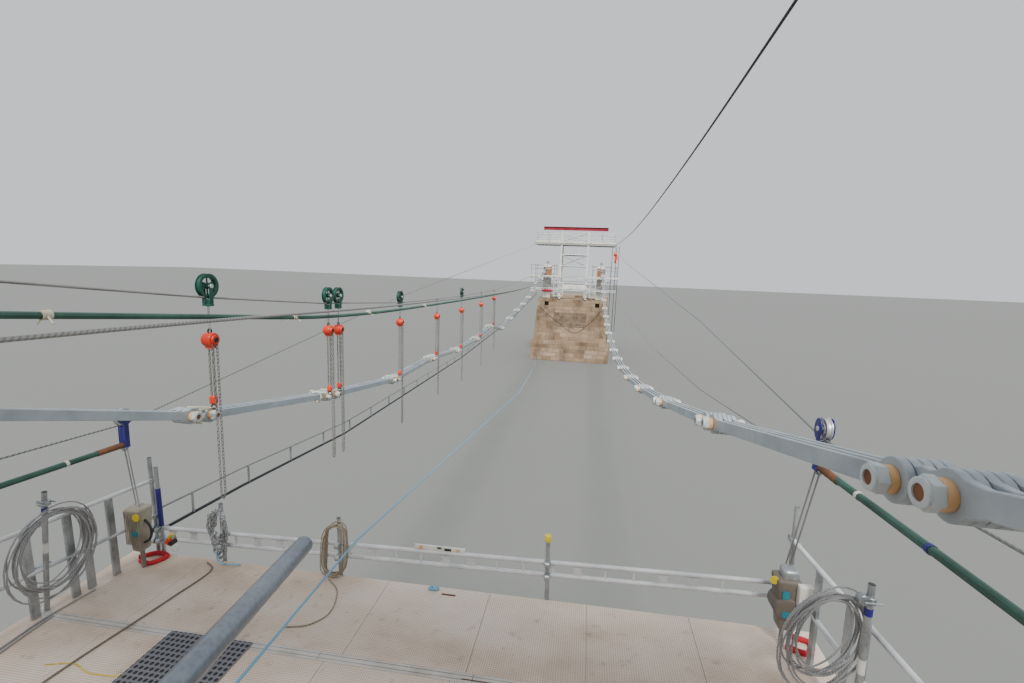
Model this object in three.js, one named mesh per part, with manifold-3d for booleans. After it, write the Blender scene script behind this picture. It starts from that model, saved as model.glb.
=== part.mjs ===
// Eyebar-chain suspension bridge during its rebuilding, as a 1:2 scale model.
// Two chains run from anchorage to anchorage over pylons on two river piers. The deck and its
// hangers are away. Scaffold towers, a hoist cableway and a slung working platform are in place.
//
// Every value below is a size of the real bridge in metres. A place is given as
// along (from the near saddles to the far ones), left (of the centre line) and
// up (from the height of the chains at the saddles).

import * as THREE from 'three';
import { mergeVertices } from 'three/addons/utils/BufferGeometryUtils.js';
import Module from 'manifold-3d';

const wasm = await Module();
wasm.setup();

// Driving dimensions
const MODEL_SCALE = 0.5;
const SPAN = 52.7;
const CHAIN_SAG = 3.95;
const CHAIN_OFFSET = 2.95;
const SADDLE_HEIGHT = 9.6;
const GAP = 0.0006;
const FUSE = 0.004;

// Chain links
const LINK_PITCH = 2.93;
const FIRST_JOINT = 1.39;
const PIN_SPACING = 0.29;
const EYE_DEPTH = 0.188;
const EYE_FLAT = 0.055;
const EYE_TAPER = 0.17;
const JOINT_DEPTH = 0.13;
const STACK_WIDTH = 0.2;
const PIN_WIDTH = 0.38;
const NUT_RADIUS = 0.062;
const BAR_DEPTH = 0.096;
const BACKSTAY_LINKS = 3;

// Piers, pylons and anchorages
const PIER_FACE = 1.7;
const PIER_TOP = -3.1;
const PIER_HALF_TOP = 3.52;
const PLINTH_TOP = -7.45;
const PIER_HALF_FOOT = 3.85;
const PLINTH_HALF = 4.05;
const PLINTH_FACE = 1.95;
const SOCKET_UP = -3.65;
const SOCKET_SIZE = 0.42;
const SOCKET_DEPTH = 0.7;
const SOCKET_LEFT = 2.6;
const PYLON_OFFSET = 2.8;
const PYLON_HALF = 0.4;
const SADDLE_FLOOR = -0.1752;
const SADDLE_HALF = 0.15;
const SADDLE_RAMP = 0.35;
const SADDLE_CHEEK = 0.2;
const CAP_BASE = 0.12;
const CAP_APEX = 0.78;
const CAP_HALF = 0.42;
const CAP_THICK = 0.1;
const ANCHOR_DISTANCE = 8.4;
const ANCHOR_UP = -4.2;
const ANCHOR_FACE = 7.4;
const ANCHOR_BACK = 10.6;
const ANCHOR_TOP = -3.1;

// Scaffold towers
const TUBE = 0.0483;
const TUBE_SQUARE = TUBE * 1.25;
const TUBE_FLAT = TUBE_SQUARE / 2 * Math.SQRT1_2;
const TOWER_FACE = 1.9;
const DECK_UP = -0.78;
const DECK_THICK = 0.16;
const DECK_HALF = 4.5;
const OPENING_HALF = 1.46;
const OPENING_REACH = 0.6;
const BACKSTAY_NOTCH = 1.0;
const OUTER_POST = 4.3;
const LINE_POST = 3.7;
const CHAIN_POST = 2.68;
const MID_POST = 1.95;
const LOW_LEDGER = -2.1;
const BACK_LEDGER = -1.35;
const GANTRY_POST = 1.34;
const GANTRY_POST_SIZE = 0.18;
const GANTRY_FRONT = -1.75;
const GANTRY_REAR = 0.45;
const GANTRY_UP = 2.53;
const GANTRY_THICK = 0.16;
const GANTRY_HALF = 4.1;
const GANTRY_OVERHANG = 0.15;
const GANTRY_RAIL_POSTS = [4.0, 2.7];
const GANTRY_LEVELS = [-0.85, 0.25, 1.4];
const RAIL_HEIGHT = 1.1;
const MID_RAIL_HEIGHT = 0.55;
const BEAM_UNDER = 3.82;
const BEAM_TOP = 4.15;
const BEAM_HALF = 3.23;
const BEAM_WIDTH = 0.22;
const TRANSOM = 0.3;
const OUTRIGGER = { rest: [1.9, -1.221], tip: [3.388, -0.884, -1.177], back: 1.865 };
const OUTRIGGER_CLEAR = 0.0052;

// Working platform
const PLATFORM_UP = -4.07;
const PLATFORM_THICK = 0.2;
const PLATFORM_REACH = 7.06;
const PLATFORM_LEFT = 3.98;
const PLATFORM_RIGHT = 4.06;
const LADDER_RAIL = { left: [3.66, 0.335], right: [-3.83, 0.497], depth: 0.15 };
const LADDER_RUNGS = 12;
const SIDE_RAIL_TOP = 0.97;
const SIDE_RAIL_LOW = 0.49;
const SIDE_RAILS = {
  left: [[2.0, 3.92], [5.6, 3.88], [7.08, 3.65]],
  right: [[2.0, -3.96], [5.4, -3.94], [7.08, -3.83]],
};
const SIDE_POSTS = { left: [2.04, 3.9, 5.85, 6.2, 6.35, 6.6], right: [2.04, 3.9, 5.95, 6.15, 6.6] };
const SIDE_POST_WIDTH = 0.08;
const SIDE_POST_THICK = 0.03;
const FRONT_POSTS = [[3.65, 1.27], [3.57, 1.15], [2.69, 0.75], [1.12, 0.72], [-1.36, 0.73], [-3.83, 1.33]];
const FRONT_POST_FOOT = -0.17;
const POST_FOOT_CLEAR = 0.004;
const PLATFORM_TILT = 1.6 * Math.PI / 180;
const WINCHES = {
  left: { along: 6.77, left: 3.53, height: 0.84 },
  right: { along: 6.83, left: -3.69, height: 0.86 },
};
const WINCH_SIZE = 0.24;
const WINCH_WIRE = 0.03;
const COIL_POSTS = {
  left: { foot: [5.97, 3.87], top: [5.97, 3.69], height: 1.35 },
  right: { foot: [5.75, -3.78], top: [5.75, -3.78], height: 1.43 },
};
const COILS = {
  left: { centre: [5.95, 3.6363, 0.735], across: 0.92, turn: 8.8 * Math.PI / 180 },
  right: { centre: [5.716, -3.4995, 1.0], across: 0.78, turn: -68 * Math.PI / 180 },
};
const COIL_THICK = 0.09;
const COIL_DEPTH = 0.12;
const HANK = { along: [6.96, 7.0594], left: 1.12, low: 0.012, top: 0.7, width: 0.34, neck: 0.09 };
const RESTRAINT_DROPS = [0.3, 0.29, 0.25, 0.2, 0.2, 0.2];
const RESTRAINT_STRUTS = 40;
const RESTRAINT_SIZE = 0.025;

// Hoist cableway over the left chain: a track rope, eight hoists and five grooved wheels
const CABLEWAY_LEFT = 2.68;
const TRACK_SIZE = 0.025;
const TAG_SIZE = 0.02;
const ROPE_LAP = 0.02;
const ROPE_STEPS = 12;
const TRACK_START = -0.28;
const TRACK_END = -0.25;
const WHEEL_RADIUS = 0.14;
const WHEEL_WIDTH = 0.06;
const GROOVE_DEPTH = 0.02;
const GROOVE_LIP = 0.008;
const ROPE_CLEAR = 0.0016;
const AXLE_RADIUS = 0.016;
const BORE_RADIUS = 0.0185;
const CHEEK_GAP = 0.012;
const CHEEK_THICK = 0.012;
const HOIST_SIZE = 0.17;
const HOISTS = [
  { along: 7.04, track: -0.856, up: -1.34, low: -2.1, wheel: true },
  { along: 9.55, track: -1.08, up: -1.53, low: -2.58, wheel: true },
  { along: 9.87, track: -1.09, up: -1.55, low: -2.6, wheel: true },
  { along: 12.6, track: -1.25, up: -1.7, low: -2.95, wheel: true },
  { along: 15.31, track: -1.315, up: -1.8, low: -2.93, wheel: false },
  { along: 17.98, track: -1.335, up: -1.83, low: -3.14, wheel: true },
  { along: 20.96, track: -1.345, up: -1.82, low: -3.14, wheel: false },
  { along: 23.59, track: -1.345, up: -1.71, low: -2.92, wheel: false },
];
const FALL_SIZE = 0.02;

// Hauling ropes, their sheaves and the sleeved lines that hold the platform
const SHEAVE_RADIUS = 0.1;
const SHEAVE_WIDTH = 0.05;
const HAUL_SIZE = 0.02;
const SLEEVE_SIZE = 0.06;
const LINES = {
  left: {
    left: 3.7,
    sleeve: [-2.47, -2.63],
    haulStart: -2.18,
    sheave: [6.81, -2.29],
    haul: [[11.08, -1.8], [15.02, -1.28]],
  },
  right: {
    left: -3.7,
    sleeve: [-1.8, -2.015],
    haulStart: -1.455,
    sheave: [6.6, -1.668],
    haul: [[11.46, -1.21], [31.97, 0.36]],
  },
};

const group = new THREE.Group();
group.name = 'suspension_bridge';

// Materials
const material = (color, roughness, metalness) =>
  new THREE.MeshStandardMaterial({ color, roughness, metalness });
const finish = {
  sandstone: material(0xc9b08a, 0.95, 0),
  chainPaint: material(0x9aa6b0, 0.5, 0),
  cap: material(0xe8e6df, 0.7, 0),
  pylon: material(0xa9794f, 0.9, 0),
  galvanised: material(0xb4b8ba, 0.45, 0.9),
  boards: material(0xb8a48c, 0.85, 0),
  redPaint: material(0xb01828, 0.5, 0),
  greenSleeve: material(0x2f6b58, 0.6, 0),
  wireRope: material(0x8b8d8c, 0.5, 0.8),
  darkCable: material(0x23262a, 0.6, 0),
  travellerGreen: material(0x0f5a48, 0.5, 0),
  hoistOrange: material(0xe8401c, 0.5, 0),
  sheaveBlue: material(0x2a2a7a, 0.5, 0),
  hoistGrey: material(0xa39c8c, 0.6, 0),
  beigeRope: material(0xb9ab90, 0.9, 0),
  blueLine: material(0x8fb6cf, 0.8, 0),
};

// Places and simple solids
const MILLIMETRES = 1000 * MODEL_SCALE;
const place = (along, left, up) =>
  new THREE.Vector3(-left, along - SPAN / 2, up + SADDLE_HEIGHT).multiplyScalar(MILLIMETRES);

function solid(geometry) {
  const bare = geometry.clone();
  bare.deleteAttribute('normal');
  bare.deleteAttribute('uv');
  const merged = mergeVertices(bare, 1e-4);
  return new wasm.Manifold(new wasm.Mesh({
    numProp: 3,
    vertProperties: new Float32Array(merged.attributes.position.array),
    triVerts: new Uint32Array(merged.index.array),
  }));
}

function fuse(parts) {
  return parts.reduce((whole, part) => whole.add(part));
}

function addMesh(name, positions, triangles, look, parent) {
  const geometry = new THREE.BufferGeometry();
  geometry.setAttribute('position', new THREE.BufferAttribute(positions, 3));
  geometry.setIndex(new THREE.BufferAttribute(triangles, 1));
  geometry.computeVertexNormals();
  const node = new THREE.Mesh(geometry, look);
  node.name = name;
  parent.add(node);
}

function addNode(name, shape, look, parent = group) {
  const mesh = shape.getMesh();
  addMesh(name, mesh.vertProperties, mesh.triVerts, look, parent);
}

// A piece of the near end, and the same piece mirrored to the far end
function addAtBothEnds(name, shape, look) {
  const mesh = shape.getMesh();
  const positions = mesh.vertProperties.map((value, i) => (i % 3 === 1 ? -value : value));
  const triangles = new Uint32Array(mesh.triVerts).reverse();
  addNode(`near_${name}`, shape, look);
  addMesh(`far_${name}`, positions, triangles, look, group);
}

function block(along, left, up) {
  const low = place(Math.min(...along), Math.max(...left), Math.min(...up));
  const high = place(Math.max(...along), Math.min(...left), Math.max(...up));
  const size = high.clone().sub(low);
  const centre = low.clone().add(high).multiplyScalar(0.5);
  return solid(new THREE.BoxGeometry(size.x, size.y, size.z).translate(centre.x, centre.y, centre.z));
}

// A straight round or few-sided bar between two places
function bar(start, end, diameter, sides = 5, turn = 0) {
  const a = place(...start);
  const b = place(...end);
  const run = b.clone().sub(a);
  const radius = diameter / 2 * MILLIMETRES;
  const geometry = new THREE.CylinderGeometry(radius, radius, run.length(), sides);
  geometry.rotateY(turn);
  const up = new THREE.Vector3(0, 1, 0);
  geometry.applyQuaternion(new THREE.Quaternion().setFromUnitVectors(up, run.clone().normalize()));
  const middle = a.clone().add(b).multiplyScalar(0.5);
  return solid(geometry.translate(middle.x, middle.y, middle.z));
}

// A rope through a list of places, of one round section
function rope(points, diameter, steps, sides = 6) {
  const curve = new THREE.CatmullRomCurve3(points.map((point) => place(...point)), false, 'centripetal');
  const radius = diameter / 2 * MILLIMETRES;
  const section = new THREE.Shape();
  for (let i = 0; i < sides; i += 1) {
    const angle = i / sides * 2 * Math.PI;
    const x = radius * Math.cos(angle);
    const y = radius * Math.sin(angle);
    if (i === 0) {
      section.moveTo(x, y);
    } else {
      section.lineTo(x, y);
    }
  }
  section.closePath();
  return solid(new THREE.ExtrudeGeometry(section, { steps, bevelEnabled: false, extrudePath: curve }));
}

// A closed ring or disc turned round an axis that lies across the bridge
function turned(profile, centre, sides) {
  const points = profile.map(([radius, side]) => new THREE.Vector2(radius * MILLIMETRES, side * MILLIMETRES));
  const geometry = new THREE.LatheGeometry(points, sides);
  geometry.rotateZ(Math.PI / 2);
  const at = place(...centre);
  return solid(geometry.translate(at.x, at.y, at.z));
}

// The two ends of the bridge: distance is measured outwards from the saddles
const ENDS = [
  { name: 'near', along: (distance) => -distance },
  { name: 'far', along: (distance) => SPAN + distance },
];
const SIDES = [
  { name: 'left', sign: 1 },
  { name: 'right', sign: -1 },
];

// Masonry
function pierSolid(end) {
  const width = (PIER_HALF_FOOT - PIER_HALF_TOP);
  const outline = new THREE.Shape();
  const height = PIER_TOP - PLINTH_TOP;
  const scale = MILLIMETRES;
  outline.moveTo(-PIER_HALF_FOOT * scale, 0);
  outline.lineTo(PIER_HALF_FOOT * scale, 0);
  outline.lineTo((PIER_HALF_FOOT - width) * scale, height * scale);
  outline.lineTo(-(PIER_HALF_FOOT - width) * scale, height * scale);
  outline.closePath();
  const depth = 2 * PIER_FACE * scale;
  const body = new THREE.ExtrudeGeometry(outline, { depth, bevelEnabled: false });
  body.rotateX(Math.PI / 2);
  const at = place(end.along(0), 0, PLINTH_TOP);
  body.translate(at.x, at.y + depth / 2, at.z);
  const plinth = block(
    [end.along(-PLINTH_FACE), end.along(PLINTH_FACE)],
    [-PLINTH_HALF, PLINTH_HALF],
    [-SADDLE_HEIGHT, PLINTH_TOP + FUSE],
  );
  let pier = solid(body).add(plinth);
  for (const side of SIDES) {
    const centre = side.sign * SOCKET_LEFT;
    pier = pier.subtract(block(
      [end.along(-PIER_FACE - 0.1), end.along(-PIER_FACE + SOCKET_DEPTH)],
      [centre - SOCKET_SIZE / 2, centre + SOCKET_SIZE / 2],
      [SOCKET_UP - SOCKET_SIZE / 2, SOCKET_UP + SOCKET_SIZE / 2],
    ));
  }
  return pier;
}

function pylonSolid(end, side) {
  const middle = side.sign * PYLON_OFFSET;
  const chain = side.sign * CHAIN_OFFSET;
  const column = block(
    [end.along(-PYLON_HALF), end.along(PYLON_HALF)],
    [middle - PYLON_HALF, middle + PYLON_HALF],
    [PIER_TOP + GAP, CAP_BASE],
  );
  const channel = block(
    [end.along(-PYLON_HALF - 0.1), end.along(PYLON_HALF + 0.1)],
    [chain - SADDLE_CHEEK, chain + SADDLE_CHEEK],
    [SADDLE_FLOOR, CAP_BASE + 0.1],
  );
  const ramps = [-1, 1].map((way) => block(
    [end.along(way * SADDLE_HALF), end.along(way * (PYLON_HALF + 0.1))],
    [chain - SADDLE_CHEEK, chain + SADDLE_CHEEK],
    [SADDLE_FLOOR - SADDLE_RAMP, CAP_BASE],
  ));
  return column.subtract(channel).subtract(ramps[0]).subtract(ramps[1]);
}

function capSolid(end, side) {
  const left = side.sign * PYLON_OFFSET;
  const radius = CAP_HALF * Math.SQRT2 * MILLIMETRES;
  const slab = block(
    [end.along(-CAP_HALF), end.along(CAP_HALF)],
    [left - CAP_HALF, left + CAP_HALF],
    [CAP_BASE + GAP, CAP_BASE + CAP_THICK],
  );
  const height = (CAP_APEX - CAP_BASE - CAP_THICK + FUSE) * MILLIMETRES;
  const pyramid = new THREE.ConeGeometry(radius, height, 4);
  pyramid.rotateY(Math.PI / 4);
  pyramid.rotateX(Math.PI / 2);
  const at = place(end.along(0), left, CAP_BASE + CAP_THICK - FUSE);
  return slab.add(solid(pyramid.translate(at.x, at.y, at.z + height / 2)));
}

function anchorageSolid(end) {
  const mass = block(
    [end.along(ANCHOR_FACE), end.along(ANCHOR_BACK)],
    [-PLINTH_HALF, PLINTH_HALF],
    [-SADDLE_HEIGHT, ANCHOR_TOP],
  );
  const throat = PIN_WIDTH / 2 + GAP;
  const throats = SIDES.map((side) => block(
    [end.along(ANCHOR_FACE - 0.2), end.along(ANCHOR_DISTANCE + 0.25)],
    [side.sign * CHAIN_OFFSET - throat, side.sign * CHAIN_OFFSET + throat],
    [ANCHOR_UP - 0.25, ANCHOR_TOP + 0.1],
  ));
  return mass.subtract(throats[0]).subtract(throats[1]);
}

const NEAR = ENDS[0];
addAtBothEnds('pier', pierSolid(NEAR), finish.sandstone);
addAtBothEnds('anchorage', anchorageSolid(NEAR), finish.sandstone);
for (const side of SIDES) {
  addAtBothEnds(`${side.name}_pylon`, pylonSolid(NEAR, side), finish.pylon);
  addAtBothEnds(`${side.name}_cap`, capSolid(NEAR, side), finish.cap);
}

// Chains. Joint places are the middles between the two pins of each joint.
const chainUp = (along) => -4 * CHAIN_SAG * (along / SPAN) * (1 - along / SPAN);

function rightJoints() {
  const joints = [[0, 0]];
  let along = 0;
  let wanted = FIRST_JOINT;
  const step = 0.01;
  let travelled = 0;
  while (along < SPAN) {
    const rise = chainUp(along + step) - chainUp(along);
    travelled += Math.hypot(step, rise);
    along += step;
    if (travelled >= wanted && SPAN - along > LINK_PITCH / 2) {
      joints.push([along, chainUp(along)]);
      wanted += LINK_PITCH;
    }
  }
  joints.push([SPAN, 0]);
  return joints;
}

// The left chain is still being hung, so its joints stand at the heights that the hoists hold
const LEFT_JOINTS = [
  [0, 0], [1.35, -0.42], [4.15, -1.37], [7.04, -2.28], [9.91, -2.77], [12.78, -3.13], [15.66, -3.11],
  [18.34, -3.32], [21.24, -3.32], [24.14, -3.08], [27.02, -3.54], [29.91, -3.26],
  [32.72, -2.98], [35.54, -2.77], [38.39, -2.42], [41.12, -2.02], [43.95, -1.47], [46.8, -0.98],
  [49.7, -0.46], [SPAN, 0],
];

// The side outline of a link: half a joint, the eye, the bar, the eye and half a joint
function linkOutline(length, start, end) {
  const pinA = PIN_SPACING / 2;
  const pinB = length - PIN_SPACING / 2;
  const top = [
    [start, JOINT_DEPTH / 2],
    [pinA - EYE_FLAT, EYE_DEPTH / 2],
    [pinA + EYE_FLAT, EYE_DEPTH / 2],
    [pinA + EYE_TAPER, BAR_DEPTH / 2],
    [pinB - EYE_TAPER, BAR_DEPTH / 2],
    [pinB - EYE_FLAT, EYE_DEPTH / 2],
    [pinB + EYE_FLAT, EYE_DEPTH / 2],
    [end, JOINT_DEPTH / 2],
  ];
  const bottom = top.map(([along, up]) => [along, -up]).reverse();
  const points = [...top, ...bottom].reverse();
  const scaled = points.map(([along, up]) => new THREE.Vector2(along, up).multiplyScalar(MILLIMETRES));
  return new THREE.Shape(scaled);
}

function linkSolid(from, to, left, trimStart, trimEnd) {
  const a = place(from[0], left, from[1]);
  const b = place(to[0], left, to[1]);
  const run = b.clone().sub(a);
  const length = run.length() / MILLIMETRES;
  const along = run.clone().normalize();
  const across = new THREE.Vector3(1, 0, 0);
  const rise = across.clone().cross(along);
  const frame = new THREE.Matrix4().makeBasis(along, rise, across).setPosition(a);
  const start = trimStart;
  const end = length - trimEnd;
  const depth = STACK_WIDTH * MILLIMETRES;
  const plate = new THREE.ExtrudeGeometry(linkOutline(length, start, end), { depth, bevelEnabled: false });
  const parts = [solid(plate.translate(0, 0, -depth / 2).applyMatrix4(frame))];
  for (const at of [PIN_SPACING / 2, length - PIN_SPACING / 2]) {
    const radius = NUT_RADIUS * MILLIMETRES;
    const pin = new THREE.CylinderGeometry(radius, radius, PIN_WIDTH * MILLIMETRES, 6);
    pin.rotateX(Math.PI / 2);
    pin.translate(at * MILLIMETRES, 0, 0);
    parts.push(solid(pin.applyMatrix4(frame)));
  }
  return fuse(parts);
}

// How much a link is cut back where the next length of chain meets it at an angle
function trimAt(before, at, after) {
  const inward = Math.atan2(at[1] - before[1], at[0] - before[0]);
  const outward = Math.atan2(after[1] - at[1], after[0] - at[0]);
  return GAP / 2 + JOINT_DEPTH / 2 * Math.tan(Math.abs(outward - inward) / 2);
}

function chainSolid(joints, left, trimStart, trimEnd) {
  const links = [];
  const last = joints.length - 2;
  for (let i = 0; i <= last; i += 1) {
    const start = i === 0 ? trimStart : -FUSE;
    const end = i === last ? trimEnd : -FUSE;
    links.push(linkSolid(joints[i], joints[i + 1], left, start, end));
  }
  return fuse(links);
}

// From the saddle down to the anchorage
function backstayJoints(end) {
  const joints = [];
  for (let i = 0; i <= BACKSTAY_LINKS; i += 1) {
    const share = i / BACKSTAY_LINKS;
    joints.push([end.along(ANCHOR_DISTANCE * share), ANCHOR_UP * share]);
  }
  return joints;
}

for (const side of SIDES) {
  const left = side.sign * CHAIN_OFFSET;
  const joints = side.name === 'left' ? LEFT_JOINTS : rightJoints();
  const middle = Math.floor(joints.length / 2);
  const last = joints.length - 1;
  const stays = ENDS.map((end) => backstayJoints(end));
  const nearTrim = trimAt(stays[0][1], joints[0], joints[1]);
  const farTrim = trimAt(joints[last - 1], joints[last], stays[1][1]);
  const midTrim = trimAt(joints[middle - 1], joints[middle], joints[middle + 1]);
  const lengths = [
    { name: `${side.name}_chain_near`, joints: joints.slice(0, middle + 1), trims: [nearTrim, midTrim] },
    { name: `${side.name}_chain_far`, joints: joints.slice(middle), trims: [midTrim, farTrim] },
    { name: `near_${side.name}_backstay`, joints: stays[0], trims: [nearTrim, -FUSE] },
    { name: `far_${side.name}_backstay`, joints: stays[1], trims: [farTrim, -FUSE] },
  ];
  for (const item of lengths) {
    addNode(item.name, chainSolid(item.joints, left, ...item.trims), finish.chainPaint);
  }
}

// Scaffold towers
// Straight scaffold tube between two places given by distance from the saddles, left and up
const endTube = (end, a, b, size = TUBE_SQUARE) => bar(
  [end.along(a[0]), a[1], a[2]],
  [end.along(b[0]), b[1], b[2]],
  size,
  4,
  Math.PI / 4,
);

const deckLedger = DECK_UP - DECK_THICK - TUBE_FLAT - GAP;

function scaffoldSolid(end) {
  const front = -TOWER_FACE;
  const back = TOWER_FACE;
  const sill = PIER_TOP + TUBE_FLAT + GAP;
  const railUps = [DECK_UP + 0.72, DECK_UP + RAIL_HEIGHT];
  const postTop = DECK_UP + RAIL_HEIGHT + 0.1;
  const parts = [];
  const tube = (a, b) => parts.push(endTube(end, a, b));
  for (const side of SIDES) {
    const outer = side.sign * OUTER_POST;
    const line = side.sign * LINE_POST;
    const chain = side.sign * CHAIN_POST;
    const mid = side.sign * MID_POST;
    tube([front, line, -2.8], [front, line, postTop]);
    tube([front, chain, deckLedger], [front, chain, postTop]);
    for (const distance of [front, back]) {
      tube([distance, outer, LOW_LEDGER - 0.1], [distance, outer, postTop]);
      tube([distance, mid, sill - 0.1], [distance, mid, postTop]);
      tube([distance, mid, LOW_LEDGER], [distance, outer, deckLedger]);
    }
    for (const up of railUps) {
      tube([front, mid, up], [front, chain, up]);
      tube([front, line, up], [front, outer, up]);
      tube([back, mid, up], [back, outer, up]);
      tube([front, outer, up], [back, outer, up]);
    }
    tube([front, outer, LOW_LEDGER], [back, outer, LOW_LEDGER]);
    tube([front, outer, deckLedger], [back, outer, deckLedger]);
    tube([front, mid, deckLedger], [back, mid, deckLedger]);
    tube([front, mid, sill], [back, mid, sill]);
  }
  tube([TRANSOM, -MID_POST, deckLedger], [TRANSOM, MID_POST, deckLedger]);
  for (const up of [LOW_LEDGER, deckLedger]) {
    tube([front, -OUTER_POST, up], [front, OUTER_POST, up]);
  }
  for (const up of [LOW_LEDGER, BACK_LEDGER]) {
    tube([back, -OUTER_POST, up], [back, OUTER_POST, up]);
  }
  return fuse(parts);
}

// The tube that lies over the near tower's front ledger and points out over the river
function outriggerSolid() {
  const [along, left] = OUTRIGGER.rest;
  const [tipAlong, tipLeft, tipUp] = OUTRIGGER.tip;
  const up = deckLedger + 2 * TUBE_FLAT + OUTRIGGER_CLEAR;
  const back = (along - OUTRIGGER.back) / (tipAlong - along);
  const start = [OUTRIGGER.back, left - (tipLeft - left) * back, up - (tipUp - up) * back];
  return bar(start, OUTRIGGER.tip, TUBE_SQUARE, 4, Math.PI / 4);
}

function mainDeckSolid(end) {
  const up = [DECK_UP - DECK_THICK, DECK_UP];
  const reach = [end.along(-TOWER_FACE + 0.04), end.along(TOWER_FACE - 0.04)];
  let deck = block(reach, [-DECK_HALF, DECK_HALF], up);
  deck = deck.subtract(block(
    [end.along(-TOWER_FACE - 0.1), end.along(OPENING_REACH)],
    [-OPENING_HALF, OPENING_HALF],
    [up[0] - 0.1, up[1] + 0.1],
  ));
  for (const side of SIDES) {
    const middle = side.sign * PYLON_OFFSET;
    const left = side.sign * CHAIN_OFFSET;
    const clear = PYLON_HALF + 0.03;
    deck = deck.subtract(block(
      [end.along(-clear), end.along(clear)],
      [middle - clear, middle + clear],
      [up[0] - 0.1, up[1] + 0.1],
    ));
    deck = deck.subtract(block(
      [end.along(BACKSTAY_NOTCH), end.along(TOWER_FACE + 0.1)],
      [left - 0.3, left + 0.3],
      [up[0] - 0.1, up[1] + 0.1],
    ));
  }
  return deck;
}

const gantryRails = [GANTRY_UP + MID_RAIL_HEIGHT, GANTRY_UP + RAIL_HEIGHT - 0.05];
const GANTRY_ROWS = [GANTRY_FRONT, GANTRY_REAR];

function gantryFrameSolid(end) {
  const half = GANTRY_POST_SIZE / 2;
  const tube = (a, b, size) => endTube(end, a, b, size);
  const tops = [BEAM_UNDER, GANTRY_UP + RAIL_HEIGHT];
  const parts = GANTRY_ROWS.flatMap((distance, row) => SIDES.map((side) => block(
    [end.along(distance - half), end.along(distance + half)],
    [side.sign * GANTRY_POST - half, side.sign * GANTRY_POST + half],
    [PIER_TOP + GAP, tops[row]],
  )));
  for (const distance of GANTRY_ROWS) {
    for (const up of gantryRails) {
      parts.push(tube([distance, -GANTRY_POST, up], [distance, GANTRY_POST, up]));
    }
    for (const up of GANTRY_LEVELS) {
      parts.push(tube([distance, -GANTRY_POST, up], [distance, GANTRY_POST, up], 2 * TUBE));
    }
  }
  for (const side of SIDES) {
    const left = side.sign * GANTRY_POST;
    for (const up of GANTRY_LEVELS) {
      parts.push(tube([GANTRY_FRONT, left, up], [GANTRY_REAR, left, up], 2 * TUBE));
    }
    const [, middle, high] = GANTRY_LEVELS;
    parts.push(tube([GANTRY_FRONT, left, middle], [GANTRY_FRONT, -left, high], 2 * TUBE));
    parts.push(tube([GANTRY_FRONT, left, GANTRY_UP + 0.15], [GANTRY_FRONT, -left, gantryRails[1]], 2 * TUBE));
  }
  return fuse(parts);
}

// The deck round the four posts, with the guard rails that stand on it
function gantryDeckSolid(end) {
  const half = GANTRY_POST_SIZE / 2 + GAP;
  let deck = block(
    [end.along(GANTRY_FRONT - GANTRY_OVERHANG), end.along(GANTRY_REAR + GANTRY_OVERHANG)],
    [-GANTRY_HALF, GANTRY_HALF],
    [GANTRY_UP - GANTRY_THICK, GANTRY_UP],
  );
  for (const distance of GANTRY_ROWS) {
    for (const side of SIDES) {
      deck = deck.subtract(block(
        [end.along(distance - half), end.along(distance + half)],
        [side.sign * GANTRY_POST - half, side.sign * GANTRY_POST + half],
        [GANTRY_UP - GANTRY_THICK - 0.1, GANTRY_UP + 0.1],
      ));
    }
  }
  const parts = [deck];
  const tube = (a, b) => parts.push(endTube(end, a, b));
  for (const side of SIDES) {
    const outer = side.sign * GANTRY_RAIL_POSTS[0];
    const inner = side.sign * (GANTRY_POST + half);
    for (const distance of GANTRY_ROWS) {
      for (const post of GANTRY_RAIL_POSTS) {
        const left = side.sign * post;
        tube([distance, left, GANTRY_UP - FUSE], [distance, left, GANTRY_UP + RAIL_HEIGHT]);
      }
      for (const up of gantryRails) {
        tube([distance, outer, up], [distance, inner, up]);
      }
    }
    for (const up of gantryRails) {
      tube([GANTRY_FRONT, outer, up], [GANTRY_REAR, outer, up]);
    }
  }
  return fuse(parts);
}

function redBeamSolid(end) {
  return block(
    [end.along(GANTRY_FRONT - BEAM_WIDTH / 2), end.along(GANTRY_FRONT + BEAM_WIDTH / 2)],
    [-BEAM_HALF, BEAM_HALF],
    [BEAM_UNDER + GAP, BEAM_TOP],
  );
}

addAtBothEnds('scaffold', scaffoldSolid(NEAR), finish.galvanised);
addNode('outrigger_tube', outriggerSolid(), finish.galvanised);
addAtBothEnds('main_deck', mainDeckSolid(NEAR), finish.boards);
addAtBothEnds('gantry_frame', gantryFrameSolid(NEAR), finish.galvanised);
addAtBothEnds('gantry_deck', gantryDeckSolid(NEAR), finish.boards);
addAtBothEnds('red_beam', redBeamSolid(NEAR), finish.redPaint);

// Working platform, hung a little out of level
const platform = new THREE.Group();
platform.position.copy(place(PIER_FACE, 0, PLATFORM_UP));
platform.rotation.y = -PLATFORM_TILT;
const platformPieces = new THREE.Group();
platformPieces.position.copy(platform.position).negate();
platform.add(platformPieces);
group.add(platform);

const platformDeck = block(
  [PIER_FACE + GAP, PLATFORM_REACH],
  [-PLATFORM_RIGHT, PLATFORM_LEFT],
  [PLATFORM_UP - PLATFORM_THICK, PLATFORM_UP],
);
addNode('platform_deck', platformDeck, finish.boards, platformPieces);

const railTube = (start, end) => bar(start, end, TUBE_SQUARE, 4, Math.PI / 4);
const postAlong = PLATFORM_REACH + TUBE_FLAT + GAP;
const onPlatform = (along, left, height) => [along, left, PLATFORM_UP + height];

// The ladder rail's height at a place across the platform: it rises to the right
function ladderHeight(left) {
  const [leftEnd, leftHeight] = LADDER_RAIL.left;
  const [rightEnd, rightHeight] = LADDER_RAIL.right;
  return leftHeight + (rightHeight - leftHeight) * (leftEnd - left) / (leftEnd - rightEnd);
}

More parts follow.
